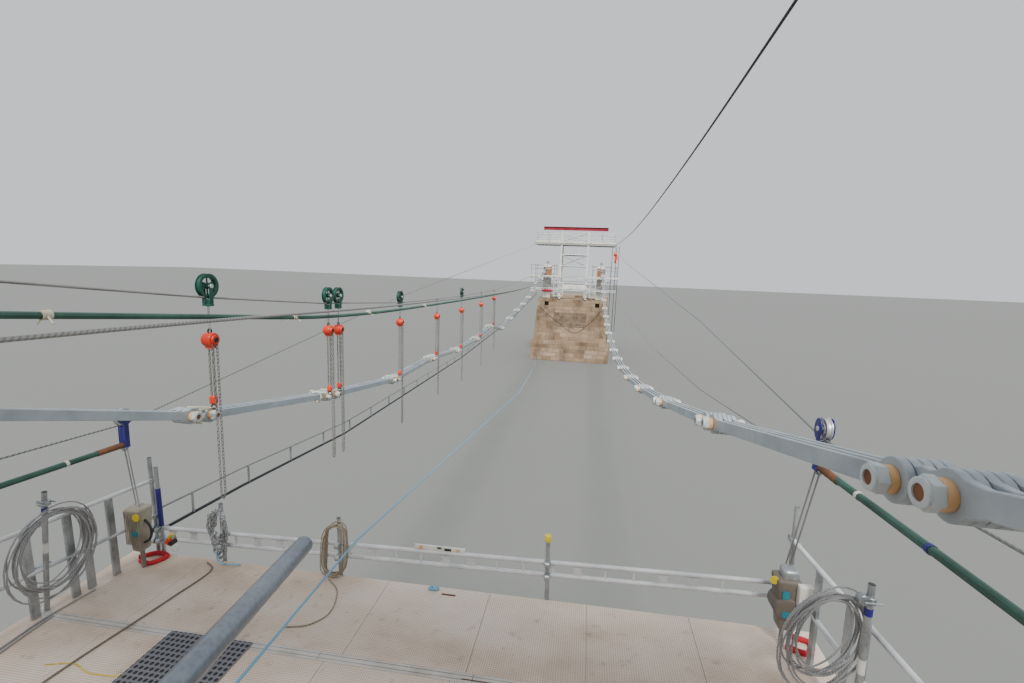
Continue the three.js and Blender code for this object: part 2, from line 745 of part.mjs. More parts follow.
function frontRailParts() {
  const ends = [LADDER_RAIL.left, LADDER_RAIL.right];
  const parts = [0, LADDER_RAIL.depth].map((drop) => railTube(
    ...ends.map(([left, height]) => onPlatform(postAlong, left, height - drop)),
  ));
  const [start, end] = ends.map(([left]) => left);
  for (let i = 0; i < LADDER_RUNGS; i += 1) {
    const left = start + (end - start) * (i + 0.5) / LADDER_RUNGS;
    const top = PLATFORM_UP + ladderHeight(left);
    parts.push(block(
      [postAlong - 0.012, postAlong + 0.012],
      [left - 0.016, left + 0.016],
      [top - LADDER_RAIL.depth, top],
    ));
  }
  for (const [left, height] of FRONT_POSTS) {
    parts.push(railTube(onPlatform(postAlong, left, FRONT_POST_FOOT), onPlatform(postAlong, left, height)));
  }
  return parts;
}

// How far left a side rail stands at a place along the platform
function sideRailLeft(side, along) {
  const route = SIDE_RAILS[side.name];
  const next = Math.max(1, route.findIndex((point) => point[0] >= along));
  const [a, b] = [route[next - 1], route[next]];
  return a[1] + (b[1] - a[1]) * (along - a[0]) / (b[0] - a[0]);
}

// Two rails and their flat posts, from the pier to the front corner, with the post that carries a coil
function sideRailParts(side) {
  const parts = [];
  const route = SIDE_RAILS[side.name];
  for (const height of [SIDE_RAIL_LOW, SIDE_RAIL_TOP]) {
    route.slice(1).forEach(([along, left], i) => {
      const lap = i + 2 < route.length ? ROPE_LAP : 0;
      parts.push(railTube(onPlatform(...route[i], height), onPlatform(along + lap, left, height)));
    });
  }
  for (const along of SIDE_POSTS[side.name]) {
    const left = sideRailLeft(side, along);
    parts.push(block(
      [along - SIDE_POST_WIDTH / 2, along + SIDE_POST_WIDTH / 2],
      [left - SIDE_POST_THICK / 2, left + SIDE_POST_THICK / 2],
      [PLATFORM_UP + GAP, PLATFORM_UP + SIDE_RAIL_TOP],
    ));
  }
  const { foot, top, height } = COIL_POSTS[side.name];
  parts.push(railTube(onPlatform(...foot, POST_FOOT_CLEAR), onPlatform(...top, height)));
  const tie = [foot[0], sideRailLeft(side, foot[0])];
  parts.push(railTube(onPlatform(...foot, SIDE_RAIL_LOW), onPlatform(...tie, SIDE_RAIL_LOW)));
  return parts;
}

addNode('platform_rails', fuse([
  ...frontRailParts(),
  ...SIDES.flatMap(sideRailParts),
]), finish.galvanised, platformPieces);

for (const side of SIDES) {
  const { along, left, height } = WINCHES[side.name];
  const half = WINCH_SIZE / 2;
  const housing = block(
    [along - half, along + half],
    [left - half, left + half],
    [PLATFORM_UP + GAP, PLATFORM_UP + height],
  );
  addNode(`${side.name}_winch`, housing, finish.hoistGrey, platformPieces);
}

// How high a place on the platform stands after its tilt
const worldUp = (left, height) => (
  PLATFORM_UP + height * Math.cos(PLATFORM_TILT) - left * Math.sin(PLATFORM_TILT)
);

// The place just above a winch, after the platform's tilt
function winchTop(side) {
  const { along, left, height } = WINCHES[side.name];
  return [
    along,
    left * Math.cos(PLATFORM_TILT) + height * Math.sin(PLATFORM_TILT),
    worldUp(left, height) + 4 * ROPE_CLEAR,
  ];
}

// The coils of spare rope that hang on the platform's posts, and the hank on its front rail
function coilSolid({ centre, across, turn }) {
  const half = COIL_THICK / 2;
  const outer = across / 2;
  const inner = outer - COIL_DEPTH;
  const corner = COIL_THICK / 4;
  const profile = [
    [inner, -half + corner],
    [inner + corner, -half],
    [outer - corner, -half],
    [outer, -half + corner],
    [outer, half - corner],
    [outer - corner, half],
    [inner + corner, half],
    [inner, half - corner],
    [inner, -half + corner],
  ];
  const points = profile.map(([radius, side]) => new THREE.Vector2(radius, side).multiplyScalar(MILLIMETRES));
  const ring = new THREE.LatheGeometry(points, 20);
  ring.rotateZ(Math.PI / 2);
  ring.rotateZ(turn);
  const at = place(...onPlatform(...centre));
  return solid(ring.translate(at.x, at.y, at.z));
}
for (const side of SIDES) {
  addNode(`${side.name}_rope_coil`, coilSolid(COILS[side.name]), finish.wireRope, platformPieces);
}

function hankSolid() {
  const half = HANK.width / 2;
  const low = PLATFORM_UP + HANK.low;
  const top = PLATFORM_UP + HANK.top;
  const narrow = HANK.neck / 2;
  const outline = new THREE.Shape();
  const at = (left, up) => [(-left) * MILLIMETRES, (up - PLATFORM_UP) * MILLIMETRES];
  outline.moveTo(...at(-half, low + narrow));
  outline.lineTo(...at(-half + narrow, low));
  outline.lineTo(...at(half - narrow, low));
  outline.lineTo(...at(half, low + narrow));
  outline.lineTo(...at(narrow, top - narrow));
  outline.lineTo(...at(0, top));
  outline.lineTo(...at(-narrow, top - narrow));
  outline.closePath();
  const depth = (HANK.along[1] - HANK.along[0]) * MILLIMETRES;
  const body = new THREE.ExtrudeGeometry(outline, { depth, bevelEnabled: false });
  body.rotateX(Math.PI / 2);
  const origin = place(HANK.along[1], HANK.left, PLATFORM_UP);
  return solid(body.translate(origin.x, origin.y, origin.z));
}
addNode('rope_hank', hankSolid(), finish.beigeRope, platformPieces);

// Ropes along the bridge
// A rope of straight stretches: each one laps a little over the next and is turned against it
function ropeLength(points, size) {
  const stretches = points.slice(1).map((end, i) => {
    const start = points[i];
    const last = i + 2 === points.length;
    const run = Math.hypot(...end.map((value, axis) => value - start[axis]));
    const lapped = end.map((value, axis) => value + (value - start[axis]) / run * (last ? 0 : ROPE_LAP));
    return bar(start, lapped, size, 6, (i % 2) * Math.PI / 6);
  });
  return fuse(stretches);
}

const nearStart = TOWER_FACE + TUBE_FLAT + ROPE_CLEAR;
const sleeveStart = nearStart + ROPE_CLEAR / 2;
const farStart = SPAN - nearStart;
const gantryStart = -GANTRY_FRONT + TUBE_FLAT + ROPE_CLEAR;
const gantryEdge = SPAN + GANTRY_FRONT - GANTRY_OVERHANG - ROPE_CLEAR;
const SLEEVED_LEFT = MID_POST + 0.035;
const CARRYING_LEFT = MID_POST - 0.035;
const ROPES = [
  {
    name: 'sleeved_cable',
    look: finish.greenSleeve,
    size: 0.05,
    points: [
      [sleeveStart, SLEEVED_LEFT, -0.54],
      [6.29, SLEEVED_LEFT, -0.97],
      [8.45, SLEEVED_LEFT, -1.16],
      [13.2, SLEEVED_LEFT, -1.29],
      [32, SLEEVED_LEFT, -1.34],
      [SPAN - sleeveStart, SLEEVED_LEFT, -0.54],
    ],
  },
  {
    name: 'carrying_rope',
    look: finish.wireRope,
    size: 0.035,
    points: [
      [nearStart, CARRYING_LEFT, -0.89],
      [6.18, CARRYING_LEFT, -1.0],
      [10.97, CARRYING_LEFT, -1.15],
      [27.16, CARRYING_LEFT, -1.36],
      [farStart, CARRYING_LEFT, -0.89],
    ],
  },
  {
    name: 'overhead_cable',
    look: finish.darkCable,
    size: 0.04,
    points: [
      [gantryStart, -3.6, GANTRY_UP + RAIL_HEIGHT / 2],
      [15, -3.8, 2.4],
      [30, -3.95, 2.1],
      [gantryEdge, -4.05, GANTRY_UP - GANTRY_THICK / 2],
    ],
  },
];
for (const item of ROPES) {
  addNode(item.name, rope(item.points, item.size, ROPE_STEPS), item.look);
}

// The line that hangs over the ladder rail, from the near tower to the far plinth
const TAG_LEFT = 0.92;
const tagRail = [postAlong, TAG_LEFT, worldUp(TAG_LEFT, ladderHeight(TAG_LEFT)) + TUBE_FLAT + TAG_SIZE];
addNode('tag_line', ropeLength([
  [nearStart + TAG_SIZE / 4, -0.34, LOW_LEDGER],
  tagRail,
  [18.4, 0.6, -4.7],
  [32, 1.5, -6.4],
  [SPAN - PLINTH_FACE - 2 * ROPE_CLEAR, 3.5, -9.2],
], TAG_SIZE), finish.blueLine);

// The pair of restraint lines from the platform's left corner to the far tower, with struts between
function restraintSolid() {
  const start = postAlong + TUBE_FLAT + ROPE_CLEAR;
  const route = [
    [start, 3.66, -3.61],
    [8.6, 3.66, -3.69],
    [11.8, 3.66, -3.97],
    [21.6, 3.68, -4.06],
    [36, 3.7, -3.62],
    [farStart, 3.7, -2.55],
  ];
  const lower = route.map(([along, left, up], i) => [along, left, up - RESTRAINT_DROPS[i]]);
  const parts = [ropeLength(route, RESTRAINT_SIZE), ropeLength(lower, RESTRAINT_SIZE)];
  for (let i = 0; i < RESTRAINT_STRUTS; i += 1) {
    const along = start + (farStart - start) * (i + 0.5) / RESTRAINT_STRUTS;
    const next = route.findIndex((point) => point[0] > along);
    const share = (along - route[next - 1][0]) / (route[next][0] - route[next - 1][0]);
    const between = (line, axis) => line[next - 1][axis] + (line[next][axis] - line[next - 1][axis]) * share;
    const left = between(route, 1);
    parts.push(block(
      [along - 0.01, along + 0.01],
      [left - 0.01, left + 0.01],
      [between(lower, 2), between(route, 2)],
    ));
  }
  return fuse(parts);
}
addNode('restraint_lines', restraintSolid(), finish.wireRope);

// A grooved wheel with a bore, and the fork that carries it on a pin
function wheelSolid(centre, radius, width) {
  const half = width / 2;
  const profile = [
    [BORE_RADIUS, -half],
    [radius, -half],
    [radius - GROOVE_DEPTH, -half + GROOVE_LIP],
    [radius - GROOVE_DEPTH, half - GROOVE_LIP],
    [radius, half],
    [BORE_RADIUS, half],
    [BORE_RADIUS, -half],
  ];
  return turned(profile, centre, 10);
}

function forkSolid(centre, width, reach) {
  const [along, left, up] = centre;
  const inner = width / 2 + CHEEK_GAP;
  const outer = inner + CHEEK_THICK;
  const cheeks = SIDES.map((side) => block(
    [along - 0.03, along + 0.03],
    [left + side.sign * inner, left + side.sign * outer],
    [up - reach, up + 0.04],
  ));
  const pin = bar([along, left - outer, up], [along, left + outer, up], 2 * AXLE_RADIUS, 8);
  const foot = block(
    [along - 0.03, along + 0.03],
    [left - outer, left + outer],
    [up - reach - 0.03, up - reach],
  );
  return fuse([...cheeks, pin, foot]);
}

const wheelSeat = (radius, size) => radius - GROOVE_DEPTH + size / 2 + ROPE_CLEAR;

function hangerSolid(hoist) {
  const { along, track, up, low } = hoist;
  const left = CABLEWAY_LEFT;
  const half = HOIST_SIZE / 2;
  const parts = [
    block([along - 0.05, along + 0.05], [left - half, left + half], [up - half, up + half]),
    bar([along, left, low], [along, left, up], FALL_SIZE * 2, 4),
    block([along - 0.05, along + 0.05], [left - 0.05, left + 0.05], [low - 0.02, low + 0.1]),
    bar([along, left - 0.06, low - 1.2], [along, left - 0.06, up], FALL_SIZE, 4),
  ];
  if (hoist.wheel) {
    const centre = [along, left, track + wheelSeat(WHEEL_RADIUS, TRACK_SIZE)];
    const reach = WHEEL_RADIUS + 0.06;
    parts.push(forkSolid(centre, WHEEL_WIDTH, reach));
    parts.push(bar([along, left, centre[2] - reach - 0.01], [along, left, up], 0.03, 6));
  } else {
    parts.push(bar([along, left, track], [along, left, up], 0.03, 6));
  }
  return fuse(parts);
}

const track = ropeLength([
  [nearStart, CABLEWAY_LEFT, TRACK_START],
  ...HOISTS.map((hoist) => [hoist.along, CABLEWAY_LEFT, hoist.track]),
  [farStart, CABLEWAY_LEFT, TRACK_END],
], TRACK_SIZE);
const hooked = HOISTS.filter((hoist) => !hoist.wheel);
addNode('cableway_track', fuse([track, ...hooked.map(hangerSolid)]), finish.wireRope);

const wheeled = HOISTS.filter((hoist) => hoist.wheel);
wheeled.forEach((hoist, i) => {
  const centre = [hoist.along, CABLEWAY_LEFT, hoist.track + wheelSeat(WHEEL_RADIUS, TRACK_SIZE)];
  addNode(`hanger_${i + 1}`, hangerSolid(hoist), finish.hoistOrange);
  addNode(`hanger_${i + 1}_wheel`, wheelSolid(centre, WHEEL_RADIUS, WHEEL_WIDTH), finish.travellerGreen);
});

for (const side of SIDES) {
  const { left, sleeve, haulStart, sheave, haul } = LINES[side.name];
  const centre = [sheave[0], left, sheave[1]];
  const under = sheave[1] - wheelSeat(SHEAVE_RADIUS, HAUL_SIZE);
  const hauling = [
    [nearStart, left, haulStart],
    [sheave[0], left, under],
    ...haul.map(([along, up]) => [along, left, up]),
    [gantryEdge, left, GANTRY_UP - GANTRY_THICK / 2],
  ];
  addNode(`${side.name}_haul_rope`, ropeLength(hauling, HAUL_SIZE), finish.wireRope);
  addNode(`${side.name}_sheave`, wheelSolid(centre, SHEAVE_RADIUS, SHEAVE_WIDTH), finish.sheaveBlue);
  const [sleeveStart, sleeveEnd] = sleeve;
  const foot = [sheave[0], left, sleeveEnd];
  const line = [
    bar([nearStart, left, sleeveStart], foot, SLEEVE_SIZE, 6),
    bar(foot, winchTop(side), WINCH_WIRE, 5),
    forkSolid(centre, SHEAVE_WIDTH, sheave[1] - sleeveEnd),
  ];
  if (side.name === 'right') {
    line.push(ropeLength([
      foot,
      [10.95, left, -2.4],
      [17.95, left, -2.64],
      [farStart, left, LOW_LEDGER],
    ], HAUL_SIZE));
  }
  addNode(`${side.name}_sleeved_line`, fuse(line), finish.greenSleeve);
}

export default group;
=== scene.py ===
"""Looks of an eyebar-chain suspension bridge under rebuilding, as a 1:2 scale model.

Every place below is given in metres of the real bridge, as along (from the near saddles to the
far ones), left (of the centre line) and up (from the height of the chains at the saddles).
place() turns such a place into the model's own metres.
"""

import math
import random

import bmesh
import bpy
from mathutils import Matrix, Vector


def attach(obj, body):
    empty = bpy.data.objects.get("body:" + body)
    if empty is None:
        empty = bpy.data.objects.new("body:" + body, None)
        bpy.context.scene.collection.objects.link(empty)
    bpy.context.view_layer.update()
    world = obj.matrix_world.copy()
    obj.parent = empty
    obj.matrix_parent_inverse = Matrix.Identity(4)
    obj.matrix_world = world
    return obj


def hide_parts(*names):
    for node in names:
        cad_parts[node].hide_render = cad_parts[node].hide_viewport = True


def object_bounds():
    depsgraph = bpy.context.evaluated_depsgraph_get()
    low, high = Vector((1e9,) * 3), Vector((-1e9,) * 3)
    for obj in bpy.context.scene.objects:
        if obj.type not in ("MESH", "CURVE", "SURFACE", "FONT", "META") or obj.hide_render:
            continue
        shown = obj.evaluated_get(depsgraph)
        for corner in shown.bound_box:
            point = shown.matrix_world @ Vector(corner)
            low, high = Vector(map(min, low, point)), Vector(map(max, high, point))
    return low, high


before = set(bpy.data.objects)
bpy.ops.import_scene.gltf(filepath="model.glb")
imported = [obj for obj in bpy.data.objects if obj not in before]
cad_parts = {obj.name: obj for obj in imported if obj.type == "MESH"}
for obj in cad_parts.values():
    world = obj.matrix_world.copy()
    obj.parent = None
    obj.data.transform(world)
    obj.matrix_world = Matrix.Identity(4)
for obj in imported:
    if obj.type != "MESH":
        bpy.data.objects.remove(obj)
cad_low, cad_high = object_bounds()
chance = random.Random(7)

# Driving dimensions
MODEL_SCALE = 0.5
SPAN = 52.7
CHAIN_SAG = 3.95
CHAIN_OFFSET = 2.95
SADDLE_HEIGHT = 9.6
GAP = 0.0006
SIDES = (("left", 1), ("right", -1))

# Chain links
LINK_PITCH = 2.93
FIRST_JOINT = 1.39
PIN_SPACING = 0.29
HEAD_SIZE = 0.188
BAR_DEPTH = 0.096
WAIST_DEPTH = 0.132
HEAD_SHOULDERS = ((0.115, 0.11), (0.15, 0.094), (0.19, BAR_DEPTH))
LAYER_PITCH = 0.04
LAYER_THICK = 0.036
SPACER_THICK = 0.036
NUT_THICK = 0.04
COLLAR_THICK = 0.012
BACKSTAY_LINKS = 3
LEFT_JOINTS = [
    (0, 0), (1.35, -0.42), (4.15, -1.37), (7.04, -2.28), (9.91, -2.77), (12.78, -3.13),
    (15.66, -3.11), (18.34, -3.32), (21.24, -3.32), (24.14, -3.08), (27.02, -3.54),
    (29.91, -3.26), (32.72, -2.98), (35.54, -2.77), (38.39, -2.42), (41.12, -2.02),
    (43.95, -1.47), (46.8, -0.98), (49.7, -0.46), (SPAN, 0),
]

# Piers, pylons and anchorages
PIER_FACE = 1.7
PIER_TOP = -3.1
PIER_HALF_TOP = 3.52
PLINTH_TOP = -7.45
PIER_HALF_FOOT = 3.85
PLINTH_HALF = 4.05
PLINTH_FACE = 1.95
SOCKET_UP = -3.65
SOCKET_SIZE = 0.42
SOCKET_DEPTH = 0.7
SOCKET_LEFT = 2.6
PYLON_OFFSET = 2.8
PYLON_HALF = 0.4
CASING_BOARDS = 17
CASING_THICK = 0.03
CHANNEL_LOW = -0.53
SADDLE_CHEEK = 0.2
CAP_BASE = 0.12
CAP_APEX = 0.78
CAP_HALF = 0.42
CAP_THICK = 0.1
ANCHOR_DISTANCE = 8.4
ANCHOR_UP = -4.2
ANCHOR_FACE = 7.4
ANCHOR_BACK = 10.6
ANCHOR_TOP = -3.1
ANCHOR_COURSES = 15
THROAT_HALF = 0.211
THROAT_REACH = (-ANCHOR_DISTANCE - 0.25, -ANCHOR_FACE + 0.2)
THROAT_UP = (ANCHOR_UP - 0.25, ANCHOR_TOP + 0.1)
PIER_STONE = 0.8
PLINTH_STONE = 1.1
ANCHOR_STONE = 0.9
PIER_COURSE = 0.399
PLINTH_COURSES = [-SADDLE_HEIGHT, -9.17, -8.74, -8.3, -7.87, PLINTH_TOP]
STONE_JOINT = 0.012
STONE_DEPTH = 0.34
STONE_WEAR = 0.016
FLAG_INSET = 0.35
FLAG_SIZE = (0.6, 0.9)
FLAG_THICK = 0.12

# Scaffold towers
TUBE = 0.0483
TUBE_FLAT = 0.02135
TOWER_FACE = 1.9
DECK_UP = -0.78
DECK_THICK = 0.16
DECK_HALF = 4.5
OPENING_HALF = 1.46
OPENING_REACH = 0.6
BACKSTAY_NOTCH = 1.0
OUTER_POST = 4.3
LINE_POST = 3.7
CHAIN_POST = 2.68
MID_POST = 1.95
LOW_LEDGER = -2.1
BACK_LEDGER = -1.35
GANTRY_POST = 1.34
GANTRY_POST_SIZE = 0.18
GANTRY_FRONT = -1.75
GANTRY_REAR = 0.45
GANTRY_UP = 2.53
GANTRY_THICK = 0.16
GANTRY_HALF = 4.1
GANTRY_OVERHANG = 0.15
GANTRY_LEVELS = (-0.85, 0.25, 1.4)
GANTRY_RAIL_POSTS = (4.0, 2.7)
RAIL_HEIGHT = 1.1
MID_RAIL = 0.72
POST_EXCESS = 0.1
DECK_INSET = 0.04
GANTRY_ROWS = (-GANTRY_FRONT, -GANTRY_REAR)
GANTRY_RAILS = (GANTRY_UP + 0.55, GANTRY_UP + RAIL_HEIGHT - 0.05)
FAR_ROWS = (SPAN + GANTRY_FRONT, SPAN + GANTRY_REAR)
FAR_FACE = SPAN - TOWER_FACE - 0.03
LEVER_HOIST = (FAR_ROWS[0] - 0.1, -4.05, 1.3)
BEAM_UNDER = 3.82
BEAM_TOP = 4.15
BEAM_HALF = 3.23
BEAM_WIDTH = 0.22
FLANGE_THICK = 0.02
WEB_HALF = 0.008
BOARD_WIDTH = 0.225
BOARD_THICK = 0.045
BOARD_JOINT = 0.008
JOIST_HALF = 0.03
OUTRIGGER_REST = (1.9, -1.221, -0.9146)
OUTRIGGER_TIP = (3.388, -0.884, -1.177)
OUTRIGGER_BACK = 1.865

# Working platform
PLATFORM_UP = -4.07
PLATFORM_THICK = 0.2
PLYWOOD_THICK = 0.03
LIP_DEPTH = 0.09
PANEL_WIDTH = 1.2
STRIP_LENGTH = 1.15
PLATFORM_REACH = 7.06
PLATFORM_LEFT = 3.98
PLATFORM_RIGHT = 4.06
PLATFORM_TILT = math.radians(1.6)
POST_ALONG = PLATFORM_REACH + TUBE_FLAT + GAP
LADDER_LEFT = (3.66, 0.335)
LADDER_RIGHT = (-3.83, 0.497)
LADDER_DEPTH = 0.15
RUNG_PITCH = 0.3
SIDE_RAIL_UPS = (0.49, 0.97)
SIDE_RAILS = {
    "left": ((2.0, 3.92), (5.6, 3.88), (7.08, 3.65)),
    "right": ((2.0, -3.96), (5.4, -3.94), (7.08, -3.83)),
}
SIDE_POSTS = {
    "left": (2.04, 3.9, 5.85, 6.2, 6.35, 6.6),
    "right": (2.04, 3.9, 5.95, 6.15, 6.6),
}
FRONT_POSTS = ((3.65, 1.27), (3.57, 1.15), (2.69, 0.75), (1.12, 0.72), (-1.36, 0.73), (-3.83, 1.33))
FRONT_POST_FOOT = -0.17
FLAT_WIDTH = 0.08
FLAT_THICK = 0.03
RUNG_SIZE = 0.025
COIL_POSTS = {
    "left": ((5.97, 3.87), (5.97, 3.69), 1.35),
    "right": ((5.75, -3.78), (5.75, -3.78), 1.43),
}
WINCHES = {"left": (6.77, 3.53, 0.84), "right": (6.83, -3.69, 0.86)}
PANEL_JOINT = 0.004
STRIPS = ((3.4, 3.5), (5.87, 5.97))
LEVEL_LEFT = -0.12

# Spare rope: two coils on the side posts and a hank on the front rail
COILS = {
    "left": {"centre": (5.95, 3.6363, 0.735), "across": 0.92, "turn": 8.8, "start": 80},
    "right": {"centre": (5.716, -3.4995, 1.0), "across": 0.78, "turn": -68.0, "start": 100},
}
COIL_THICK = 0.09
COIL_DEPTH = 0.12
COIL_ROPE = 0.014
COIL_TURNS = 13
COIL_SLACK = 1.5
COIL_STEPS = 28
HANK_ALONG = (6.96, 7.0594)
HANK_LEFT = 1.12
HANK_LOW = PLATFORM_UP + 0.012
HANK_TOP = PLATFORM_UP + 0.7
HANK_WIDTH = 0.34
HANK_ROPE = 0.014
HANK_TURNS = 7
HANK_STEPS = 60

# Hoist cableway and hauling ropes
CABLEWAY_LEFT = 2.68
TRACK_SIZE = 0.025
WHEEL_RADIUS = 0.14
WHEEL_REACH = WHEEL_RADIUS + 0.06
GROOVE_DEPTH = 0.02
ROPE_CLEAR = 0.0016
ROPE_START = TOWER_FACE + TUBE_FLAT + ROPE_CLEAR
GANTRY_END = SPAN + GANTRY_FRONT - GANTRY_OVERHANG - ROPE_CLEAR
TRACK_ENDS = (-0.28, -0.25)
AXLE_BORE = 0.0187
AXLE_RADIUS = 0.016
LOAD_CHAIN_APART = 0.022
HAND_CHAIN_APART = 0.06
HAND_CHAIN_DROP = 1.2
SLING_SIZE = 0.032
SLING_ROUTE = (
    (0.02, 0.1, 0.09), (0.02, 0.125, 0), (0.01, 0.08, -0.085),
    (-0.01, -0.08, -0.085), (-0.02, -0.125, 0), (-0.02, -0.1, 0.09),
)
# Place along the bridge, then height of the track rope, the hoist, its hook, and whether it has a wheel
HOISTS = (
    (7.04, -0.856, -1.34, -2.1, True),
    (9.55, -1.08, -1.53, -2.58, True),
    (9.87, -1.09, -1.55, -2.6, True),
    (12.6, -1.25, -1.7, -2.95, True),
    (15.31, -1.315, -1.8, -2.93, False),
    (17.98, -1.335, -1.83, -3.14, True),
    (20.96, -1.345, -1.82, -3.14, False),
    (23.59, -1.345, -1.71, -2.92, False),
)
SHEAVE_RADIUS = 0.1
HAUL_SIZE = 0.02
SLEEVE_SIZE = 0.06
SLEEVED_LEFT = 1.985
CARRYING_LEFT = 1.915
CABLE_TIES = ((4.9, -0.833), (7.6, -1.085), (9.6, -1.191), (12.3, -1.265))
RESTRAINT_END = 50.777
RESTRAINT_DEPTHS = (0.3, 0.29, 0.25, 0.2, 0.2, 0.2)
RESTRAINT_STRUTS = 40
LINES = {
    "left": {
        "left": 3.7,
        "sleeve": (-2.47, -2.63),
        "start": -2.18,
        "sheave": (6.81, -2.29),
        "haul": ((11.08, -1.8), (15.02, -1.28)),
    },
    "right": {
        "left": -3.7,
        "sleeve": (-1.8, -2.015),
        "start": -1.455,
        "sheave": (6.6, -1.668),
        "haul": ((11.46, -1.21), (31.97, 0.36)),
    },
}

# Camera, from the photograph's perspective
CAMERA_PLACE = (2.314, -1.606, -0.417)
CAMERA_YAW = math.radians(8.98)
CAMERA_PITCH = math.radians(-8.62)
CAMERA_ROLL = math.radians(2.235)
CAMERA_LENS = 16.43
SENSOR_WIDTH = 36.0

SMOOTH_ANGLE = math.radians(32)
# Turns that lay a primitive's own axis along X, Y or Z
AXIS_TURNS = {"X": (0, math.pi / 2, 0), "Y": (math.pi / 2, 0, 0), "Z": (0, 0, 0)}


def place(along, left, up):
    """A place on the real bridge, in the model's frame."""
    return Vector((-left, along - SPAN / 2, up + SADDLE_HEIGHT)) * MODEL_SCALE


def centred(half):
    return -half, half


def part_way(a, b, share):
    """The place at a share of the way from a to b."""
    return tuple(p + (q - p) * share for p, q in zip(a, b))


def value_along(route, along):
    """The second number of a route of pairs, at a place along it."""
    k = next(i for i, point in enumerate(route) if point[0] > along)
    a, b = route[k - 1], route[k]
    return a[1] + (b[1] - a[1]) * (along - a[0]) / (b[0] - a[0])


TILT = (
    Matrix.Translation(place(PIER_FACE, 0, PLATFORM_UP))
    @ Matrix.Rotation(-PLATFORM_TILT, 4, "Y")
    @ Matrix.Translation(-place(PIER_FACE, 0, PLATFORM_UP))
)
END_MIRROR = Matrix.Scale(-1, 4, Vector((0, 1, 0)))


# Materials
def linear(hex_colour):
    """An sRGB hex colour as linear red, green, blue and alpha."""
    channels = [int(hex_colour[i : i + 2], 16) / 255 for i in (1, 3, 5)]
    return [c / 12.92 if c <= 0.04045 else ((c + 0.055) / 1.055) ** 2.4 for c in channels] + [1]


def add(material, kind, settings=None, links=None):
    """Adds a shader node with its settings and its incoming links."""
    tree = material.node_tree
    node = tree.nodes.new(kind)
    for key, value in (settings or {}).items():
        if isinstance(key, str) and hasattr(node, key):
            setattr(node, key, value)
        else:
            node.inputs[key].default_value = value
    for key, source in (links or {}).items():
        tree.links.new(source, node.inputs[key])
    return node


def feed(material, node, index, value):
    """Gives a node's input a number, a hex colour or another node's output."""
    if isinstance(value, str):
        node.inputs[index].default_value = linear(value)
    elif isinstance(value, (int, float)):
        node.inputs[index].default_value = value
    else:
        material.node_tree.links.new(value, node.inputs[index])


def new_material(name, roughness, metallic=0.0, **sockets):
    """A material with one Principled shader, and its Object coordinates."""
    material = bpy.data.materials.new(name)
    material.use_nodes = True
    shader = material.node_tree.nodes["Principled BSDF"]
    shader.inputs["Roughness"].default_value = roughness
    shader.inputs["Metallic"].default_value = metallic
    for key, value in sockets.items():
        shader.inputs[key.replace("_", " ")].default_value = value
    coordinates = add(material, "ShaderNodeTexCoord").outputs["Object"]
    return material, shader, coordinates


def ramp(material, factor, stops):
    """A colour ramp from places and hex colours."""
    node = add(material, "ShaderNodeValToRGB", links={"Fac": factor})
    elements = node.color_ramp.elements
    while len(elements) < len(stops):
        elements.new(0.5)
    for element, (position, colour) in zip(elements, stops):
        element.position = position
        element.color = linear(colour)
    return node.outputs["Color"]


def noise(material, coordinates, size, detail=4.0, roughness=0.6, stretch=(1, 1, 1)):
    """Noise whose blotches are about size metres of the real bridge across."""
    mapping = add(material, "ShaderNodeMapping", {"Scale": stretch}, {"Vector": coordinates})
    return add(
        material,
        "ShaderNodeTexNoise",
        {"Scale": 1 / (size * MODEL_SCALE), "Detail": detail, "Roughness": roughness},
        {"Vector": mapping.outputs["Vector"]},
    ).outputs["Fac"]


def bump(material, shader, height, depth, strength=1.0):
    """A bump of a real depth in metres."""
    settings = {"Strength": strength, "Distance": depth * MODEL_SCALE}
    node = add(material, "ShaderNodeBump", settings, {"Height": height})
    feed(material, shader, "Normal", node.outputs["Normal"])


def mixed(material, factor, a, b, blend="MIX"):
    """Colour a towards colour b by a factor, each a socket or a hex colour."""
    node = add(material, "ShaderNodeMix", {"data_type": "RGBA", "blend_type": blend})
    for index, value in ((0, factor), (6, a), (7, b)):
        feed(material, node, index, value)
    return node.outputs[2]


def math_node(material, operation, a, b=0.0):
    node = add(material, "ShaderNodeMath", {"operation": operation})
    for index, value in ((0, a), (1, b)):
        feed(material, node, index, value)
    return node.outputs[0]


def paint(name, base, light, dark, roughness, wear=0.12, speck=0.05):
    """Brushed or sprayed coat: even colour, with faint clouds of dirt and small specks."""
    material, shader, place_in = new_material(name, roughness)
    clouds = noise(material, place_in, 0.35)
    grime = noise(material, place_in, 0.03, detail=6.0)
    colour = ramp(material, clouds, [(0.3, dark), (0.5, base), (0.72, light)])
    speckled = ramp(material, grime, [(speck, "#5a5a55"), (speck + wear, "#ffffff")])
    colour = mixed(material, 0.35, colour, speckled, "MULTIPLY")
    feed(material, shader, "Base Color", colour)
    bump(material, shader, grime, 0.0006, 0.3)
    return material


